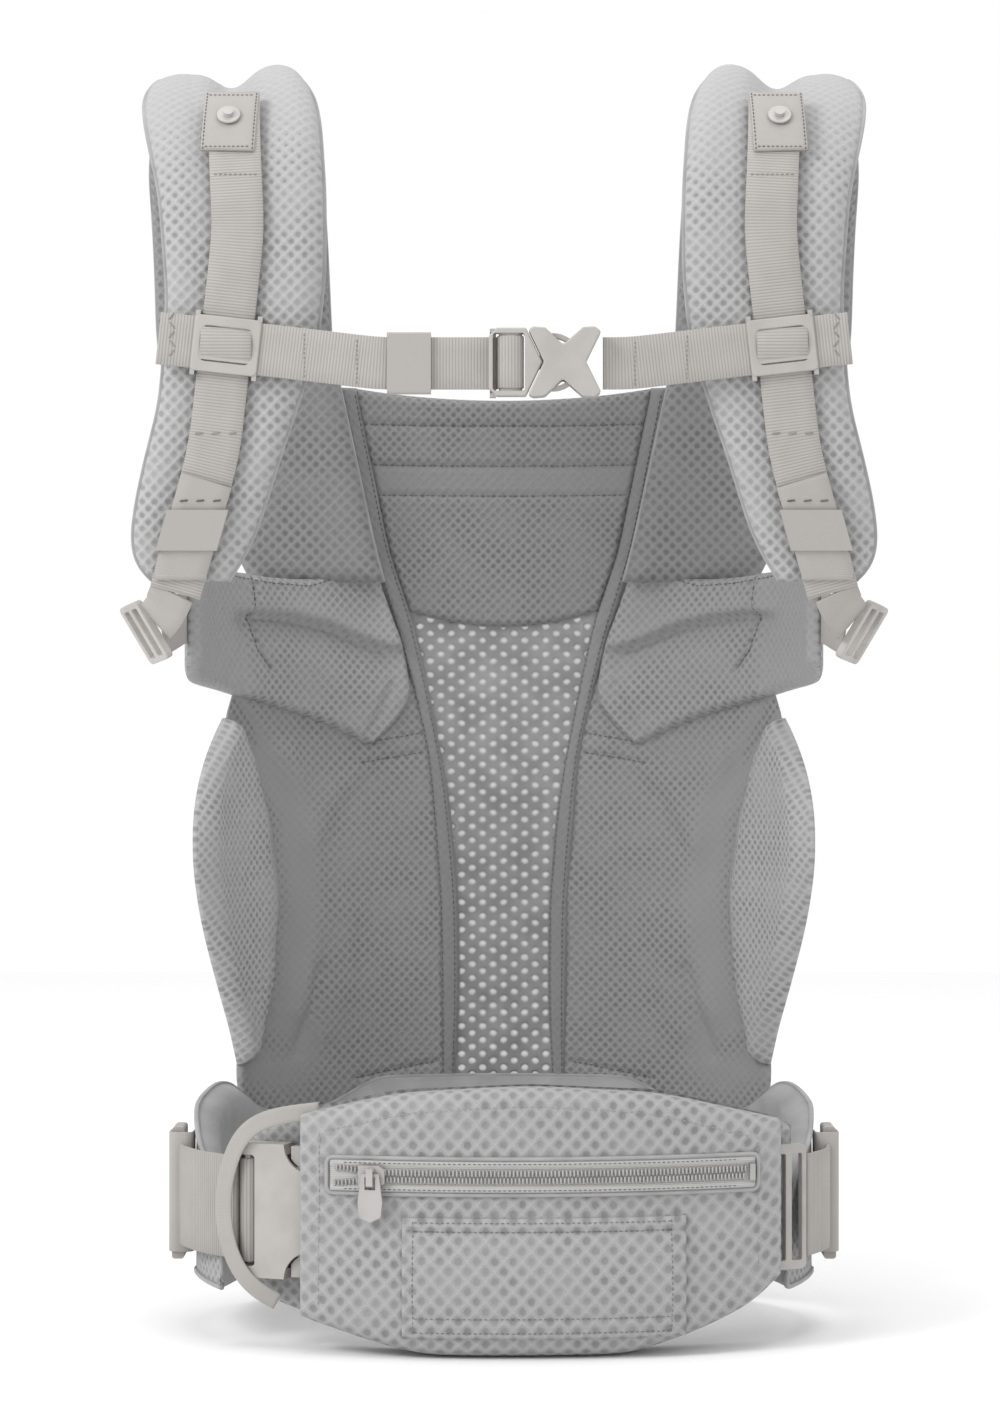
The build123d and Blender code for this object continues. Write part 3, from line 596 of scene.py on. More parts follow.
seam_outer = [(-90, 481), (-71.6, 392), (-55.5, 341), (-42, 288), (-35.7, 207.5), (-34, 97)]
seam_inner = [(-79, 481), (-60.8, 392), (-48.3, 358), (-40.2, 320), (-28.9, 261), (-24, 207.5), (-23.5, 154),
              (-26.7, 97)]

# head panel, with its sewn band across
head_left = unrolled([(-51.5, 362), (-62.5, 392), (-81.5, 481)])
head_right = [(-q, z) for q, z in head_left]


def level_edge(end, middle, rise, reach, count):
    """Edge across the head panel, curving up from its middle towards both ends."""
    bowed = [(q, middle + rise * (q / head_left[end][0]) ** 2) for q in np.linspace(-reach, reach, count)]
    return [head_left[end]] + bowed + [head_right[end]]


head_low = level_edge(0, 353.5, 8.5, 44, 12)
head_top = level_edge(-1, 475.5, 5.5, 72, 14)
grid = coons(head_left, head_right, head_low, head_top, STEP, 4.0)
seams = [[(-84, 461.5), (84, 461.5)], [(-74, 440), (74, 440)], [(-70, 424), (70, 424)]]
field = -sum(dent(grid, line, 1.5, 1.5) for line in seams)
band = np.exp(-((grid[..., 1] - 432) / 8.5) ** 6)
field = field - 0.9 * band + 0.5 * ripple(grid[..., 0], grid[..., 1], 3, 60)
head_panel = oval_piece("head_panel_quilt", grid, 6.0, 1.2, (3, 3, 4, 5), PITCH, [PANEL_PAINTED_SHADE, PANEL_PAINTED_SHADE], field,
                        relief=0.55, dull=0.6 * band)
settle(head_panel, ["head_panel"])
for line in seams:
    sew_oval(head_panel, line, sides=(1, -1))

# bindings beside the centre panel
for side, sign in SIDES:
    left, right = (unrolled(seam[::-1], sign) for seam in (seam_outer, seam_inner)[::-sign])
    grid = coons(left, right, [left[0], right[0]], [left[-1], right[-1]], 1.4, 10.0)
    d = edge_distances(grid)
    ridge = 0.7 * np.exp(-((d[0] - 2.2) / 1.2) ** 2) + 0.7 * np.exp(-((d[1] - 2.2) / 1.2) ** 2)
    band_piece = oval_piece(f"panel_binding_tape_{side}", grid, 4.8, 0.5, (2.6, 2.6, 2, 2), (5.0, 5.4), [BAND, BAND],
                            0.3 * ripple(grid[..., 0], grid[..., 1], 5 + sign, 26) - 0.35 * ridge,
                            relief=0.22, dull=0.45)
    settle(band_piece, [f"panel_binding_{side}"])
    rows, cols = grid.shape[:2]
    for col in (0.16, 0.84):
        sew_oval(band_piece, grid[2:-2, int(col * (cols - 1))], sides=(1, -1))

# open mesh in the centre, with real holes
COLUMN, ROW = 5.7, 7.4
keys, verts, faces = {}, [], []
mesh_edge = np.asarray(unrolled([(x - 4.0, z) for x, z in seam_inner[2:]]))[::-1]
border = [(a * COLUMN / 2, b * ROW / 2)
          for a, b in ((-1, -1), (0, -1), (1, -1), (1, 0), (1, 1), (0, 1), (-1, 1), (-1, 0))]
hole = []
for t in np.radians((225, 270, 315, 0, 45, 90, 135, 180)):
    wide, tall = math.cos(t), math.sin(t)
    hole.append((2.2 * math.copysign(abs(wide) ** 1.5, wide), 1.75 * math.copysign(abs(tall) ** 1.5, tall)))


def mesh_vertex(q, z):
    limit = -np.interp(z, mesh_edge[:, 1], mesh_edge[:, 0])
    q = float(np.clip(q, -limit, limit))
    key = (round(q, 2), round(z, 2))
    if key not in keys:
        keys[key] = len(verts)
        verts.append((q, z))
    return keys[key]


for i in range(-12, 13):
    for j in range(0, 39):
        cq, cz = i * COLUMN, 95.0 + j * ROW + (i % 2) * ROW / 2
        limit = -np.interp(cz, mesh_edge[:, 1], mesh_edge[:, 0])
        if cz > 372 or abs(cq) > limit + 1.0:
            continue
        solid = abs(cq) > limit - 2.4
        ring = [mesh_vertex(cq + a, cz + b) for a, b in border]
        if solid:
            faces.append(ring)
            continue
        inside = [mesh_vertex(cq + a, cz + b) for a, b in hole]
        for k in range(8):
            n = (k + 1) % 8
            faces.append([ring[k], ring[n], inside[n], inside[k]])
clean = []
for face in faces:
    seen = list(dict.fromkeys(face))
    if len(seen) > 2:
        clean.append(seen)
flat = np.array(verts)
points, normal = round_oval(flat, 1.9 + 0.5 * ripple(flat[:, 0], flat[:, 1], 11, 70))
open_mesh = make_mesh("center_open_mesh", points, clean, [OPEN], None, flat, flat / 4.0)
threads, strips = [], []


def back_thread(line, across):
    """Fine thread of the mesh's back layer, seen through the holes."""
    base = len(threads)
    for q, z in line:
        threads.extend([(q - across[0], z - across[1]), (q + across[0], z + across[1])])
    strips.extend([base + 2 * k, base + 2 * k + 2, base + 2 * k + 3, base + 2 * k + 1] for k in range(len(line) - 1))


for slope in (-1, 1):
    for c in np.arange(-190.0, 190.0, 1.3):
        heights = np.arange(96.0, 367.0, 2.0)
        places = np.stack([c + slope * (heights - 231.0), heights], -1)
        places = places[np.abs(places[:, 0]) < -np.interp(heights, mesh_edge[:, 1], mesh_edge[:, 0]) - 0.5]
        if len(places) > 1:
            back_thread(places, (0.22, 0))
threads = np.array(threads)
back_points, _ = round_oval(threads, 0.6 + 0.5 * ripple(threads[:, 0], threads[:, 1], 11, 70))
back_layer = make_mesh("center_mesh_back_threads", back_points, strips, [OPEN], None, threads, threads / 4.0)
settle(back_layer, [], body="carrier")
solidify = open_mesh.modifiers.new("thickness", "SOLIDIFY")
solidify.thickness = 0.0013
solidify.offset = 0.0
rounded = open_mesh.modifiers.new("round", "SUBSURF")
rounded.levels = rounded.render_levels = 1
settle(open_mesh, ["center_mesh"])

# seat sides, leg pads and side wings
crease = [(-118, 131.5), (-134.6, 139), (-124, 169), (-119, 210), (-124, 252), (-146, 297)]
for side, sign in SIDES:
    flip = sign > 0

    def edges(left, right, bottom, top):
        """Mirror the four edges of a left-hand piece for the right-hand one."""
        if flip:
            return right, left, bottom[::-1], top[::-1]
        return left, right, bottom, top

    def flat_line(points):
        return unrolled(points, sign)

    # seat side: soft sheet with loose vertical folds towards the leg
    left = flat_line([(-137.5, 97), (-140, 116), (-140, 130), (-136, 143), (-129.5, 169), (-124.5, 210),
                      (-129.5, 252), (-138, 277), (-146.5, 300), (-138, 330)])
    right = flat_line([(-31.0, 97), (-32.8, 207.5), (-38, 288), (-42, 312), (-46, 331)])
    bottom = [left[0], right[0]]
    top = [left[-1]] + flat_line([(-135, 326), (-108, 318), (-82, 315), (-60, 321)]) + [right[-1]]
    grid = coons(*edges(left, right, bottom, top), STEP, 7.0)
    u, v = grid[..., 0], grid[..., 1]
    near_leg = near_line(grid, flat_line(crease))
    folds = -3.2 * np.exp(-((near_leg - 16) / 9) ** 2) * np.clip((v - 120) / 60, 0, 1)
    for line, width, height in (([(-112, 150), (-104, 190), (-106, 240), (-116, 285)], 9, 2.6),
                                ([(-96, 140), (-88, 165), (-84, 200)], 8, 2.0),
                                ([(-112, 128), (-104, 150), (-99, 172)], 3.5, -2.0),
                                ([(-60, 292), (-88, 270), (-104, 240)], 10, 2.2),
                                ([(-62, 284), (-84, 262), (-96, 238)], 6, -1.4)):
        folds = folds + dent(grid, flat_line(line), width, height)
    folds = folds + 1.1 * ripple(u, v, 20 + sign, 55)
    low_seams = [flat_line([(-80, 113), (-36, 121)]), flat_line([(-78, 105), (-36, 111)]),
                 flat_line([(-78, 281), (-44, 286.5)]), flat_line([(-74, 292), (-44, 297)])]
    folds = folds - sum(dent(grid, line, 1.5, 1.2) for line in low_seams)
    seat = oval_piece(f"seat_side_cloth_{side}", grid, 3.0, 0.6, (2, 3, 3, 3), PITCH, [SEAT_PAINTED_SHADE, SEAT_PAINTED_SHADE], folds,
                      folds * 0.5 + 0.4, dull=0.75 * np.exp(-((near_leg - 14) / 11) ** 2))
    settle(seat, [f"seat_side_{side}"])
    for line in low_seams:
        sew_oval(seat, line, sides=(1,))

    # leg pad: crowned padding round the child's thigh
    outer = flat_line([(-140, 124), (-144, 145), (-151, 174), (-157, 205), (-159.5, 232), (-159.5, 252),
                       (-157.5, 272), (-153, 290), (-147, 305)])
    inner = flat_line([(-134, 126), (-131, 141), (-124.5, 169), (-119.5, 210), (-124.5, 252), (-133, 278),
                       (-144.5, 304)])
    grid = coons(*edges(outer, inner, [outer[0], inner[0]], [outer[-1], inner[-1]]), STEP, 7.0)
    u, v = grid[..., 0], grid[..., 1]
    swell = 1.0 * ripple(u, v, 30 + sign, 40)
    leg = oval_piece(f"leg_pad_quilt_{side}", grid, 7.6, 3.6, (7, 6, 8, 8), (5.0, 5.4), [LEG, LEG], swell,
                     0.6, least=2.2, inset=1.0)
    settle(leg, [f"leg_pad_{side}"])

    # side wing, its end standing forward to the strap adjuster
    end = QUARTER + 21.0
    wing_end_low, wing_end_top = (sign * end, 333.0), (sign * end, 377.0)
    top = flat_line([(-150, 383), (-128, 379), (-108, 378), (-88, 384), (-72.5, 391)])
    top = [wing_end_top, (sign * (QUARTER + 4), 386.5)] + top
    bottom = flat_line([(-150, 320), (-135, 315), (-108, 306.5), (-90, 299), (-73, 290)])
    bottom = [wing_end_low, (sign * (QUARTER + 4), 325)] + bottom
    inner = flat_line([(-73, 290), (-60, 301), (-49, 316), (-52.6, 341), (-69.5, 391)])
    grid = coons(*edges([wing_end_low, wing_end_top], inner, bottom, top), STEP, 5.0)
    u, v = grid[..., 0], grid[..., 1]
    tuck = flat_line([(-137, 359.5), (-118, 358), (-98, 354), (-78, 346), (-66, 342)])
    upright = flat_line([(-137, 384), (-137.5, 362), (-134, 341), (-128, 331)])
    fold = near_line(grid, tuck)
    tuck_height = np.interp(np.abs(u), [abs(q) for q, _ in tuck[::-1]], [z for _, z in tuck[::-1]])
    over = np.clip((v - tuck_height) / 2.2, -1, 1)
    shape = 3.8 * over * np.exp(-(fold / 14) ** 2) - 3.0 * np.exp(-(fold / 2.6) ** 2)
    shape = shape - dent(grid, upright, 1.8, 2.6) + 0.8 * ripple(u, v, 40 + sign, 45)
    shape = shape + dent(grid, flat_line([(-120, 342), (-92, 330), (-70, 318)]), 12, 2.2)
    shape = shape - dent(grid, flat_line([(-62, 322), (-69, 308), (-74, 298)]), 3.0, 2.0)
    sleeve_part = np.clip((np.abs(u) - abs(upright[1][0])) / 5.0, 0, 1)
    wing = oval_piece(f"side_wing_quilt_{side}", grid, 5.6, 1.8, (5, 3, 5, 4) if not flip else (3, 5, 5, 4), PITCH,
                      [WING_PAINTED_SHADE, WING_PAINTED_SHADE], shape, 0.5, least=1.6, inset=2.4 - 2.4 * sleeve_part,
                      dull=np.maximum(0.3 * np.exp(-(fold / 9) ** 2), 0.4 * sleeve_part))
    settle(wing, [f"side_wing_{side}"])
    sew_oval(wing, upright, sides=(1,))
    sew_oval(wing, [(q, z - 3.4) for q, z in top[1:]], sides=(1, -1))

# ---------------------------------------------------------------- waist belt
belt_top_x = [(-161.2, 106), (-158, 112), (-152, 117), (-145, 116), (-138.5, 106), (-130, 98), (-96, 98),
              (-80, 107), (-70, 113)]
belt_low_x = [(-159.5, 26), (-122, 9), (-70, 0)]
END = QUARTER + 66.0
half_top = [(-END, 62), (-QUARTER - 50, 84), (-QUARTER - 22, 97)] + unrolled(belt_top_x)
half_low = [(-END, 26), (-QUARTER - 40, 27), (-QUARTER - 18, 28)] + unrolled(belt_low_x)
top = half_top + [(-q, z) for q, z in half_top[::-1]]
bottom = half_low + [(-q, z) for q, z in half_low[::-1]]
grid = coons([bottom[0], top[0]], [bottom[-1], top[-1]], bottom, top, 2.2, 7.0)
u, v = grid[..., 0], grid[..., 1]
fade = rim(grid, (7, 7, 7, 8))
puff = 9.0 * fade + 1.0
puff = puff + (2.4 + 1.6 * ripple(u, v, 51, 60)) * fade ** 2
front, _ = round_oval(grid, 4.6 + puff)
back, _ = round_oval(grid, 4.4 + 0.5 * lattice(u, v, (6.4, 6.4)) * fade)
belt = slab("waist_belt_quilt", front, back, grid, (6.4, 6.4), [LINING, POUCH])
settle(belt, ["belt_foam", "belt_cover"])
outline = np.concatenate([grid[:, 0], grid[-1, 1:], grid[::-1, -1][1:], grid[0, ::-1][1:]])
rim_line, _ = round_oval(resample(outline, 900, 2.0), 4.6)
welt = strap("waist_belt_welt", rim_line, (0, 0, 1), 2.4, 2.4, PIPING, 0.0)
settle(welt, [], body="carrier")

# ---------------------------------------------------------------- the curve across the back
BACK_Y = 206.0
LUMBAR_R, POUCH_R = 297.0, 322.0     # lumbar pad's middle and the pouch's outer face
OUTSIDE_R = 345.0                    # clear of everything on the wearer's-back side


def round_back(x, z, radius):
    """Points at a front-view x and height on the wide curve across the back."""
    turn = np.arcsin(np.asarray(x, float) / radius)
    return np.stack([np.asarray(radius) * np.sin(turn), BACK_Y - np.asarray(radius) * np.cos(turn),
                     np.broadcast_to(z, np.shape(turn))], -1)


lumbar_top = [(-126, 99), (-112, 111), (-98, 115.5), (-50, 126), (12, 129), (75, 125.5), (134, 110), (141, 105)]
lumbar_low = [(-126, 32), (-112, 21), (-98, 17), (-62, 6), (-38, 1), (60, 1), (92, 10), (122, 24), (141, 44)]
grid = coons([lumbar_low[0], lumbar_top[0]], [lumbar_low[-1], lumbar_top[-1]], lumbar_low, lumbar_top, 2.0, 6.0)
u, v = grid[..., 0], grid[..., 1]
fade = rim(grid, (6, 6, 6, 6))
pits = 0.5 * lattice(u, v, (6.6, 6.6)) * fade
front = round_back(u, v, LUMBAR_R + (5.0 + 0.3 * ripple(u, v, 60, 40)) * fade - pits)
back = round_back(u, v, LUMBAR_R - 4.0 * fade - 1.5 * fade ** 2)
lumbar = slab("lumbar_pad_quilt", front, back, grid, (6.6, 6.6), [POUCH, LINING])
settle(lumbar, ["lumbar_pad"])

pouch_top = np.array([(-98, 114.5), (-50, 126), (12, 129.5), (75, 125.5), (134, 110.5)])
pouch_low = np.array([(-98, 17), (-62, 6), (-38, 0.6), (60, 0.6), (92, 10), (120, 22), (134, 35)])
POUCH_PITCH = (8.7, 9.5)
STATIONS, RING = 172, 118            # sections along the pouch, and points round each
stations = np.linspace(-98, 134, STATIONS)
high_line = resample(pouch_top, STATIONS, 12.0)
low_line = resample(pouch_low, STATIONS, 8.0)
highs = np.interp(stations, high_line[:, 0], high_line[:, 1])
lows = np.interp(stations, low_line[:, 0], low_line[:, 1])


def pouch_face(x, z):
    """Radius of the pouch's outer face: flat under the zip, fuller below it."""
    x, z = np.asarray(x, float), np.asarray(z, float)
    width = np.clip(1 - ((x - 16) / 118) ** 4, 0, 1)
    belly = np.clip(1 - ((z - 36) / 38) ** 2, 0, 1) ** 1.2
    return POUCH_R + 4.2 * belly * width


front, back, flat = [], [], []
for x, low, high in zip(stations, lows, highs):
    heights = np.linspace(low + 3.5, high - 4.5, 24)
    face = list(zip(pouch_face(x, heights), heights))
    outside = [(303.0, low + 0.2), (310.0, low - 0.1), (317.0, low + 0.4)] + face
    outside += [(318.0, high - 0.6), (312.0, high + 0.1), (303.0, high - 0.6)]
    outside = resample(outside, RING, 2.2)
    floor_z, roof_z = max(30.0, low + 5), min(103.0, high - 5)
    inside = [(302.8, low + 3.5), (302.8, floor_z - 1), (316.4, floor_z), (316.4, roof_z), (302.8, roof_z + 1),
              (302.8, high - 4)]
    inside = resample(inside, RING, 0.8)
    here = np.full(RING, x)
    run = run_along(outside)
    v = run - run[len(run) // 2] + 62.0
    pits = 0.75 * lattice(here, v, POUCH_PITCH)
    edge = min(1.0, min(x + 98, 134 - x) / 5.0)
    tuck = 2.0 * (1 - math.sqrt(max(0.0, 1 - (1 - edge) ** 2)))
    facing = np.clip((outside[:, 0] - 316) / 4, 0, 1)
    puff = 0.7 * ripple(here, v, 71, 50) * facing
    zip_dip = 0.8 * np.exp(-((outside[:, 1] - 87.0) / 9.0) ** 6) * (1 if -86 < x < 124 else 0)
    keep = np.exp(-((outside[:, 1] - 87.0) / 11.0) ** 6)
    radius = outside[:, 0] + (puff * (1 - keep) - pits * edge * (1 - keep) - zip_dip * 0.6) * facing - tuck * facing
    front.append(round_back(here, outside[:, 1], radius))
    back.append(round_back(here, inside[:, 1], inside[:, 0]))
    flat.append(np.stack([here, v], -1))
front, back, flat = (np.stack(part, 1) for part in (front, back, flat))
pouch = slab("pouch_bag", front, back, flat, POUCH_PITCH, [POUCH, LINING])
settle(pouch, ["pouch"])
pouch_surface = surface_of(pouch)


def sew_back(surface, line, body="carrier", thread=POUCH_THREAD, **how):
    """Stitches along a front-view line on the wearer's-back side of a piece."""
    dense = resample(line, max(3, int(span(line) / 1.5)))
    origin = round_back(dense[:, 0], dense[:, 1], OUTSIDE_R)
    turn = np.arcsin(dense[:, 0] / OUTSIDE_R)
    toward = np.stack([-np.sin(turn), np.cos(turn), 0 * turn], -1)
    points, normals = cast(surface, origin, toward)
    stitches.run(points, normals, body, thread, **how)


sew_back(pouch_surface, [(-95, 24), (-95, 108)])
sew_back(pouch_surface, [(131, 42), (131, 104)])
sew_back(pouch_surface, np.stack([stations[6:-6], highs[6:-6] - 8.5], -1))

# flat pocket on the pouch, double hem along its mouth
grid = rectangle(-48.7, 87, 10.5, 67.5, 1.5)
u, v = grid[..., 0], grid[..., 1]
fade = rim(grid, (1.5, 1.5, 1.5, 1.5))
hem = np.clip((v - 61.5) / 1.0, 0, 1)
lines = [[(-46, 61.0), (84.5, 61.0)], [(-46, 20.0), (84.5, 20.0)], [(-46, 13.0), (84.5, 13.0)],
         [(-46, 12), (-46, 66)], [(84.5, 12), (84.5, 66)]]
sunk = sum(dent(grid, line, 1.2, 1.0) for line in lines)
base = pouch_face(u, v)
pits = 0.55 * lattice(u, v, POUCH_PITCH) * fade * (1 - hem)
raised = base + 2.5 + 0.7 * hem * fade - pits - sunk - (1 - fade)
front = round_back(u, v, raised + 0.35 * ripple(u, v, 81, 40) * fade)
back = round_back(u, v, base - 0.6 + 0 * fade)
slot_pocket = slab("slot_pocket_cloth", front, back, grid, POUCH_PITCH, [POUCH, POUCH])
settle(slot_pocket, ["slot_pocket"])
pocket_surface = surface_of(slot_pocket)
for line in lines + [[(-46, 65.6), (84.5, 65.6)]]:
    sew_back(pocket_surface, line, thread=POCKET_THREAD, pitch=2.6, length=1.7)

# zip: tape with raised welts, coil teeth closed to the slider and parted beyond it
ZIP_Z, FACE = 87.0, 322.3
grid = rectangle(-84, 121.5, ZIP_Z - 8, ZIP_Z + 8, 1.2)
u, v = grid[..., 0], grid[..., 1]
fade = rim(grid, (1.5, 1.5, 1.2, 1.2))
welt_height = 1.3 * np.exp(-((np.abs(v - ZIP_Z) - 6.3) / 1.5) ** 4)
front = round_back(u, v, FACE - 0.3 + (0.8 + welt_height) * fade)
back = round_back(u, v, FACE - 1.4 + 0 * u)
zip_tape = slab("zipper_tape_weave", front, back, grid, (4, 4), [TAPE, TAPE])
settle(zip_tape, ["zipper_tape"])
tape_surface = surface_of(zip_tape)
for z in (ZIP_Z - 6.3, ZIP_Z + 6.3):
    sew_back(tape_surface, [(-82, z), (119.5, z)], thread=THREAD, pitch=2.4, length=1.5, radius=0.22)

# rolled welt round the zip's opening
corner = np.linspace(0, math.pi / 2, 7)
half, low, high, bend, WELT = 8.6, -85.0, 122.5, 3.0, 420
loop = []
corners = [(high - bend, half - bend), (low + bend, half - bend),
           (low + bend, bend - half), (high - bend, bend - half)]
for k, (x, z) in enumerate(corners):
    loop += [(x + bend * math.cos(t), ZIP_Z + z + bend * math.sin(t)) for t in corner + k * math.pi / 2]
loop = resample(loop + [loop[0]], WELT + 1, 0.0)[:-1]
ahead = unit(np.roll(loop, -1, 0) - np.roll(loop, 1, 0))
side_way = np.stack([ahead[:, 1], -ahead[:, 0]], -1)
ring, faces = [], []
for k in range(8):
    turn = k * math.pi / 4
    rolled = loop + side_way * 1.0 * math.cos(turn)
    ring.append(round_back(rolled[:, 0], rolled[:, 1], FACE + 0.5 + 0.9 * math.sin(turn)))
verts = np.concatenate(ring)
for k in range(8):
    n = (k + 1) % 8
    ahead_of = [(j + 1) % WELT for j in range(WELT)]
    faces += [[k * WELT + j, n * WELT + j, n * WELT + i, k * WELT + i] for j, i in enumerate(ahead_of)]
flat = np.tile(np.arange(WELT)[:, None] * (1.05, 0.0), (8, 1)) + np.repeat(np.arange(8.0), WELT)[:, None] * (0, 0.7)
zip_welt = make_mesh("zipper_opening_welt", verts, faces, [PIPING], None, flat, flat)
settle(zip_welt, [], body="carrier")

verts, faces = [], []


def add_tooth(x, z, reach_z, radius):
    """One coil turn as a small rounded block on the tape."""
    half_x, half_r = 0.66, 0.85
    base = len(verts)
    shape = []
    for dz in (-1, -0.6, 0.6, 1):
        k = 1.0 if abs(dz) < 0.9 else 0.55
        for dx, dr in ((-1, -0.8), (-0.6, 1), (0.6, 1), (1, -0.8)):
            shape.append((x + dx * half_x * k, z + dz * reach_z, radius + dr * half_r * k))
    shape = np.array(shape)
    verts.extend(round_back(shape[:, 0], shape[:, 1], shape[:, 2]))
    for i in range(3):
        for j in range(4):
            k = (j + 1) % 4
            faces.append([base + 4 * i + j, base + 4 * i + k, base + 4 * i + 4 + k, base + 4 * i + 4 + j])
    faces.append([base, base + 1, base + 2, base + 3])
    faces.append([base + 15, base + 14, base + 13, base + 12])


tooth = 1.8
for i in range(int((118.5 + 81) / tooth)):
    x = -81 + i * tooth
    part = 2.0 * min(1.0, max(0.0, (-66.0 - x) / 12.0))
    for rise in (-1, 1):
        shift = 0.5 * tooth if rise > 0 else 0.0
        add_tooth(x + shift, ZIP_Z + rise * (1.75 + part), 1.6, FACE + 1.2)
flat = np.array(verts)[:, ::2]
teeth = make_mesh("zipper_teeth_coil", verts, faces, [TEETH], None, flat, flat)
settle(teeth, ["zipper_teeth"])

# ---------------------------------------------------------------- shoulder straps
ARCH_Y, ARCH_Z, ARCH_R = 0.5, 537.0, 97.5     # centre and radius of the arch over the shoulder
PAD_T, PAD_COLS = 17.0, 66
LEAN, BEND_Z = 13.0 / 74.0, 440.0             # the near half slants outward below this height
WEB_PITS, BACK_PITS = (6.6, 6.6), (5.4, 5.4)  # knit repeats on the pad's two faces
near_out = [(-168, 369), (-177, 374), (-181.3, 386), (-177.7, 410), (-165.6, 458), (-162, 507), (-166, 560),
            (-176, 604), (-178.5, 620), (-170, 635)]
near_in = [(-134, 371), (-128, 380), (-121.5, 391), (-97.8, 464), (-90.5, 487), (-87, 520), (-87, 560),
           (-90, 600), (-94, 620), (-104, 635)]
far_out = [(-170, 635), (-181, 620), (-186, 600), (-183, 500), (-165, 430), (-140, 392), (-133, 377)]
far_in = [(-104, 635), (-97, 620), (-92, 500), (-87, 479), (-69, 395), (-64, 377)]


def arch_path(lift, low_near, low_far=None, step=2.0):
    """Side view of a line on the shoulder arch: y, z and outward directions, from the near end up."""
    r = ARCH_R + lift
    points = [(ARCH_Y - r + LEAN * (BEND_Z - low_near), low_near), (ARCH_Y - r, BEND_Z), (ARCH_Y - r, ARCH_Z)]
    turn = np.linspace(math.pi, 0 if low_far is not None else math.pi / 2, 60)[1:]
    points += [(ARCH_Y + r * math.cos(t), ARCH_Z + r * math.sin(t)) for t in turn]
    if low_far is not None:
        points.append((ARCH_Y + r, low_far))
    line = resample(points, max(4, int(span(points) / step)), 8.0)
    t = tangents(line)
    return line, np.stack([-t[:, 1], t[:, 0]], -1)


def side_at(points, z):
    points = resample(points, 200, 9.0)
    order = np.argsort(points[:, 1])
    return np.interp(z, points[order, 1], points[order, 0])


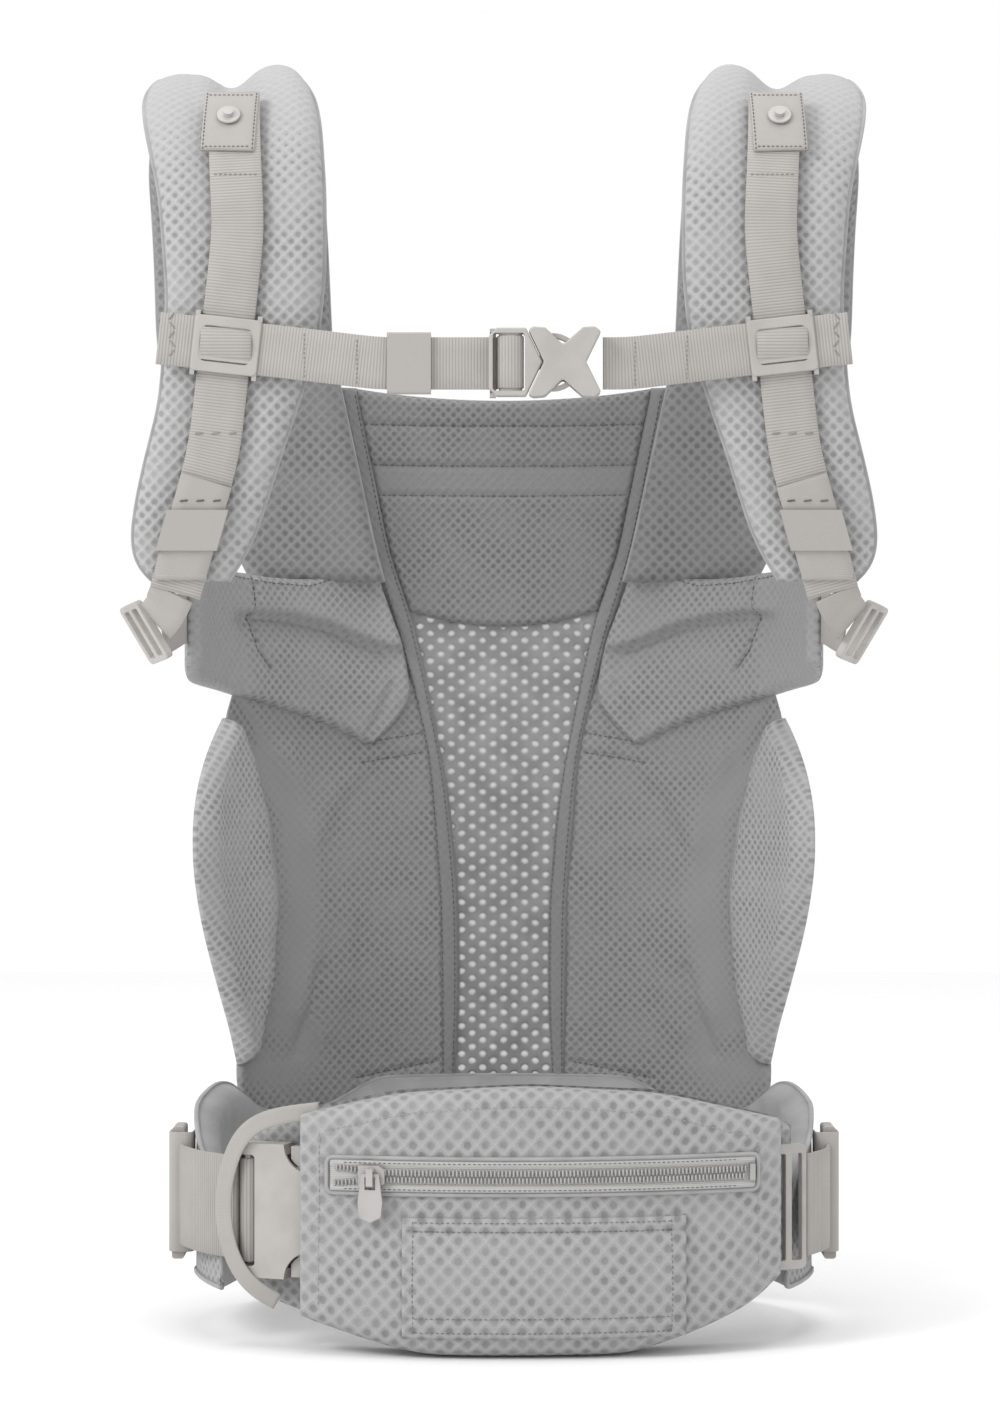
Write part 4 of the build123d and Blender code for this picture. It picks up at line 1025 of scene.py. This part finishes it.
for side, sign in SIDES:
    path, out = arch_path(0.0, 370.5, 377.0, 1.45)
    y, z = path[:, 0], path[:, 1]
    near = y < ARCH_Y
    outer = np.where(near, side_at(near_out, z), side_at(far_out, z))
    inner = np.where(near, side_at(near_in, z), side_at(far_in, z))
    run = run_along(path)
    t = np.linspace(0, 1, PAD_COLS)
    x = outer[:, None] * (1 - t) + inner[:, None] * t
    v = np.broadcast_to(run[:, None], x.shape)
    flat = np.stack([x, v], -1)
    fade = rim(flat, (13, 13, 9, 9))
    top = np.exp(-((z - 634.0) / 62.0) ** 2)[:, None] * np.ones((1, PAD_COLS))
    web_x = side_at([(-159, 366), (-146, 410), (-139, 435), (-127.5, 540), (-132, 612), (-137, 636)], z)[:, None]
    valley = np.exp(-((x - web_x) / 11.0) ** 2) * np.where(near, 1.0, np.exp(-(y - ARCH_Y) / 45.0))[:, None]
    drop = valley * (2.2 + 8.8 * top) + 4.0 * top * np.clip((web_x - x) / 20, 0, 1)
    lobes = 1.2 * np.exp(-((x - web_x - 30) / 16) ** 2) + 0.8 * np.exp(-((x - web_x + 26) / 12) ** 2)
    pits = 0.7 * lattice(x, v, WEB_PITS) * np.clip(fade * 1.5 - 0.3, 0, 1) * (1 - 0.5 * top)
    puff = 0.7 * ripple(x, v, 90 + sign, 45) * fade
    lift = -PAD_T * 0.42 * (1 - fade) - drop * fade + lobes * fade - pits + puff
    depth = -PAD_T + PAD_T * 0.42 * (1 - fade) - drop * 0.3 * fade + 0.4 * lattice(x, v, BACK_PITS) * fade

    def at(offset):
        return np.stack([x * -sign, y[:, None] + out[:, :1] * offset, z[:, None] + out[:, 1:] * offset], -1)

    flat_side = np.stack([x * -sign, v], -1)
    # the pad's back face takes the panel copy, darkened as painted shade
    pad = slab(f"shoulder_pad_quilt_{side}", at(lift), at(depth), flat_side, WEB_PITS, [PAD, PANEL_PAINTED_SHADE],
               0.55 * top * np.ones_like(x))
    settle(pad, [f"shoulder_pad_{side}"])
    border_3d = at(np.full(x.shape, -PAD_T * 0.45))
    for edge_name, column in (("inner", -1), ("outer", 0)):
        edge_path = resample(border_3d[:, column], 300, 0.0)
        piping = strap(f"shoulder_piping_{edge_name}_{side}", edge_path, (1, 0, 0), 2.6, 2.6, PIPING, 0.0)
        settle(piping, [], body="carrier")

    # webbing down the pad, its sewn tail, and the patch under the snap
    def web_line(points, lift, low, high):
        """3-D centre line for webbing given from the back as (x, z), at a lift off the arch."""
        arch, normal = arch_path(lift, low)
        keep = arch[:, 1] <= high
        arch, normal = arch[keep], normal[keep]
        x_at = side_at(points, arch[:, 1])
        normals = np.stack([0 * x_at, normal[:, 0], normal[:, 1]], -1)
        return np.stack([x_at * -sign, arch[:, 0], arch[:, 1]], -1), normals

    line, normals = web_line([(-159, 366), (-146, 410), (-139, 435), (-127.5, 540), (-132, 612)], 3.0, 366, 611)
    web = strap(f"shoulder_webbing_strap_{side}", line, (1, 0, 0), 25, 1.6, STRAP)
    settle(web, [f"shoulder_webbing_{side}"])
    for z_row in (600.0, 566.0):
        row = np.argmin(np.abs(line[:, 2] - z_row))
        stitches.bar(line[row] + normals[row] * 1.1, (11, 0, 0), normals[row], "carrier", PALE_THREAD,
                     pitch=2.4, length=1.6)
    tail, tail_normals = web_line([(-156, 376), (-146, 410), (-142.5, 421)], 4.9, 372, 421)
    tail_strap = strap(f"webbing_tail_strap_{side}", tail, (1, 0, 0), 25, 1.6, SMOOTH_STRAP)
    settle(tail_strap, [f"webbing_tail_{side}"])
    for cloth, away, height, thread in ((tail, tail_normals, 409.0, THREAD), (line, normals, 441.0, PALE_THREAD)):
        row = np.argmin(np.abs(cloth[:, 2] - height))
        for offset in (-8.0, 0.0, 8.0):
            stitches.bar(cloth[row] + away[row] + (offset, 0, 0.3), (2.6, 0, 0.3), away[row], "carrier", thread,
                         pitch=5.2, length=4.6, radius=0.5)
    patch, patch_normals = web_line([(-133.5, 577), (-132.5, 612)], 4.6, 366, 611)
    keep = patch[:, 2] >= 578
    patch, patch_normals = patch[keep], patch_normals[keep]
    anchor = strap(f"anchor_patch_cloth_{side}", patch, (1, 0, 0), 26, 1.0, SMOOTH_STRAP, 0.05)
    settle(anchor, [f"anchor_patch_{side}"])
    on_patch = patch + patch_normals * 0.6
    for row in (1, -2):
        stitches.bar(on_patch[row], (11.5, 0, 0), patch_normals[row], "carrier", THREAD, pitch=2.2, length=1.5)
    for dx in (-12.0, 12.0):
        stitches.run(on_patch + (dx, 0, 0), patch_normals, "carrier", THREAD, pitch=2.4, length=1.7)

    # strap end through the adjuster, and the wing's loop
    adjuster = f"strap_adjuster_{side}"
    end_line = resample([(sign * 160.5, -87.2, 366.0), (sign * 164.5, -82, 357.5), (sign * 170.2, -66, 352.6)],
                        24, 3.0)
    end_across = unit((0.55, 0.2, -0.75)) * (-sign, 1, 1)
    end_piece = strap(f"webbing_end_strap_{side}", end_line, end_across, 22, 1.6, SMOOTH_STRAP, 0.3)
    ride_between(end_piece, f"webbing_end_{side}", f"webbing_end_{side}", adjuster, end_line[0], end_line[-1])
    loop_line = resample([(sign * 159.0, -17, 356.0), (sign * 161.5, -30, 354.5), (sign * 168.5, -47, 349.0)],
                         24, 3.0)
    loop_piece = strap(f"wing_loop_strap_{side}", loop_line, (0, 0, 1), 26, 1.6, SMOOTH_STRAP, 0.2)
    ride_between(loop_piece, f"wing_loop_{side}", f"wing_loop_{side}", adjuster, loop_line[0], loop_line[-1])

# ---------------------------------------------------------------- chest strap
SLIDER_X, SLIDER_Z, TILT = 133.3, 484.0, 0.11
CHEST_WEB_Y, CHEST_Z = -107.2, 475.0
for side, sign in SIDES:
    body = NODE_BODY[f"chest_webbing_{side}"]
    inner_end = 3.0 if sign < 0 else 47.2
    points = [(-165.8, -101.9, 487.6), (-150, -101.9, 485.9), (-119, -102.0, 482.4), (-60, CHEST_WEB_Y, CHEST_Z),
              (-inner_end, CHEST_WEB_Y, CHEST_Z)]
    line = resample([(x * -sign, y, z) for x, y, z in points], 110, 5.0)
    strap_piece = strap(f"chest_webbing_strap_{side}", line, (0, 0, 1), 25, 1.6, STRAP)
    settle(strap_piece, [f"chest_webbing_{side}"])
    for x_row in ((-70, -96) if sign < 0 else (-62, -88)):
        row = np.argmin(np.abs(line[:, 0] - x_row * -sign))
        stitches.bar(line[row] + (0, -1.0, 0), (0, 0, 11.5), (0, -1, 0), body, PALE_THREAD, pitch=2.2, length=1.5)
    zigzag = [((-161.0 + (k % 2) * 3.5) * -sign, -103.0, 478.5 + 4.4 * k) for k in range(6)]
    for pair in zip(zigzag, zigzag[1:]):
        stitches.run(pair, [(0, -1, 0)] * 2, body, PALE_THREAD, pitch=5.0, length=4.6, radius=0.3)

    # shoulder webbing humped through the slider's window
    swell = [(0.5, -8.4), (3.6, -6.4), (5.0, -2.0), (5.2, 1.5), (4.6, 5.0), (2.8, 8.4)]
    hump = resample([(SLIDER_X * sign, -100.0 - lift, SLIDER_Z + rise) for lift, rise in swell], 30, 1.2)
    hump_piece = strap(f"slider_webbing_hump_{side}", hump, (1, 0, sign * TILT), 24.2, 1.5, STRAP, 0.05)
    settle(hump_piece, [], body=NODE_BODY[f"chest_slider_{side}"])

turns = np.linspace(math.radians(172), math.radians(368), 30)
barrel = np.stack([3.0 + 5.9 * np.cos(turns), -112.4 + 3.5 * np.sin(turns), np.full(30, CHEST_Z)], -1)
barrel_piece = strap("chest_buckle_webbing_turn", barrel, (0, 0, 1), 25, 1.0, STRAP, 0.05)
settle(barrel_piece, [], body=NODE_BODY["chest_buckle_male"])

# ---------------------------------------------------------------- waist webbing
WAIST_Z, TRACK = 67.0, 309.2    # height of the waist webbing and radius of the buckle's path


def on_track(x, radius):
    """Origin, forward and outward directions at a front-view x on a curve across the back."""
    turn = math.asin(x / radius)
    outward = np.array([math.sin(turn), -math.cos(turn), 0.0])
    origin = np.array([0.0, BACK_Y, WAIST_Z]) + radius * outward
    return origin, np.array([math.cos(turn), math.sin(turn), 0.0]), outward


web_ends = {"left": [(-151, -50), (-126.5, -77)], "right": [(161, -40), (148, -64.5)]}
for side, sign in SIDES:
    points = [(sign * 163.5, 30), (sign * 163.5, -8), (sign * 162.0, -24)] + web_ends[side]
    line = resample([(x, y, WAIST_Z) for x, y in points], 90, 7.0)
    piece = strap(f"waist_webbing_strap_{side}", line, (0, 0, 1), 50, 2.0, WAIST)
    settle(piece, [f"waist_webbing_{side}"])
    fold = [(167.6, -8), (167.6, -18.5), (165.8, -21.2), (158.0, -21.4), (156.0, -19.5), (156.0, -10)]
    fold = resample([(sign * x, y, WAIST_Z + 0.8) for x, y in fold], 40, 1.5)
    fold_piece = strap(f"waist_keeper_fold_{side}", fold, (0, 0, 1), 60, 1.2, SMOOTH_STRAP, 0.1)
    settle(fold_piece, [], body="carrier")
turns = np.linspace(math.radians(-20), math.radians(200), 30)
origin, along, outward = on_track(-106.0, TRACK)
barrel = origin + along * (-18.5 + 4.2 * np.cos(turns))[:, None] + outward * (4.6 * np.sin(turns))[:, None]
turn_piece = strap("waist_webbing_turn", barrel, (0, 0, 1), 50, 1.4, WAIST, 0.05)
settle(turn_piece, [], body=NODE_BODY["waist_buckle_female"])

xs = np.linspace(-57, 125, 90)
tunnel = strap("tunnel_webbing_strap", round_back(xs, np.full(90, WAIST_Z), TRACK), (0, 0, 1), 50, 2.0, WAIST)
turning = round_back(np.array([-57.0, 110.0]), np.full(2, WAIST_Z), TRACK)
ride_between(tunnel, "tunnel_webbing", "waist_buckle_male", "tunnel_webbing", *turning)

origin, along, outward = on_track(-124.0, TRACK + 8)
bow = resample([(34, 49, -9), (14, 46.5, -2), (2, 42.5, 1), (-7, 31, 1.4), (-12.4, 12, 1.6), (-12.6, -8, 1.6),
                (-7, -26, 1.4), (2, -38, -0.5), (13, -44, -6)], 90, 8.0)
loop_line = origin + bow[:, :1] * along + bow[:, 2:] * outward + bow[:, 1:2] * np.array([0, 0, 1.0])
across = np.cross(tangents(loop_line), outward)
safety = strap("safety_loop_elastic", loop_line, across, 8.4, 1.3, SMOOTH_STRAP, 0.1)
settle(safety, ["safety_loop"])

stitches.build()

# ---------------------------------------------------------------- CAD parts that keep their shape
def pairs(*names):
    return [f"{name}_{side}" for name in names for side, _ in SIDES]


BUCKLE_PARTS = [f"{place}_{part}" for place in ("chest", "waist")
                for part in ("buckle_female", "buckle_male", "prong_upper", "prong_lower")]
KEPT = {
    PLASTIC: BUCKLE_PARTS + pairs("chest_slider", "strap_adjuster") + ["waist_triglide"],
    TRIM: pairs("snap_stud") + ["zipper_pull", "zipper_slider", "zipper_stop"],
    ELASTIC: pairs("waist_keeper", "strap_keeper") + ["chest_keeper"],
}
for material, names in KEPT.items():
    for name in names:
        node = frame["nodes"][name]
        if not node.material_slots:
            node.data.materials.append(material)
        for holder in node.material_slots:
            holder.material = material

# ---------------------------------------------------------------- floor, light and camera
white = bpy.data.materials.new("floor_white")
white.use_nodes = True
shader_inputs = white.node_tree.nodes["Principled BSDF"].inputs
shader_inputs["Base Color"].default_value = (0.92, 0.92, 0.92, 1)
shader_inputs["Roughness"].default_value = 0.9
floor = make_mesh("floor", [(x * 2500, y * 2500, 0) for x, y in ((-1, -1), (1, -1), (1, 1), (-1, 1))],
                  [[0, 1, 2, 3]], [white], None, np.zeros((4, 2)), np.zeros((4, 2)), False)

scene = bpy.context.scene
scene.view_settings.view_transform = "Standard"
scene.view_settings.look = "None"
world = bpy.data.worlds.new("studio_white")
scene.world = world
world.use_nodes = True
world.node_tree.nodes["Background"].inputs["Color"].default_value = (1, 1, 1, 1)
world.node_tree.nodes["Background"].inputs["Strength"].default_value = 1.0


def area_light(name, place, target, size, power):
    light = bpy.data.lights.new(name, "AREA")
    light.energy = power
    light.shape = "DISK"
    light.size = size
    obj = bpy.data.objects.new(name, light)
    scene.collection.objects.link(obj)
    obj.location = place
    obj.rotation_euler = (Vector(target) - Vector(place)).to_track_quat("-Z", "Y").to_euler()


area_light("key", (-1.5, -1.1, 1.5), (0, 0, 0.35), 0.9, 19.0)
area_light("top", (0.2, -0.1, 1.9), (0, 0, 0.3), 1.2, 8.0)

camera_data = bpy.data.cameras.new("camera")
camera = bpy.data.objects.new("camera", camera_data)
scene.collection.objects.link(camera)
camera.location = (-0.002, -1.9, 0.310)
camera.rotation_euler = (math.pi / 2, 0, 0)
camera_data.lens = 95.27
camera_data.sensor_width = 36
scene.camera = camera
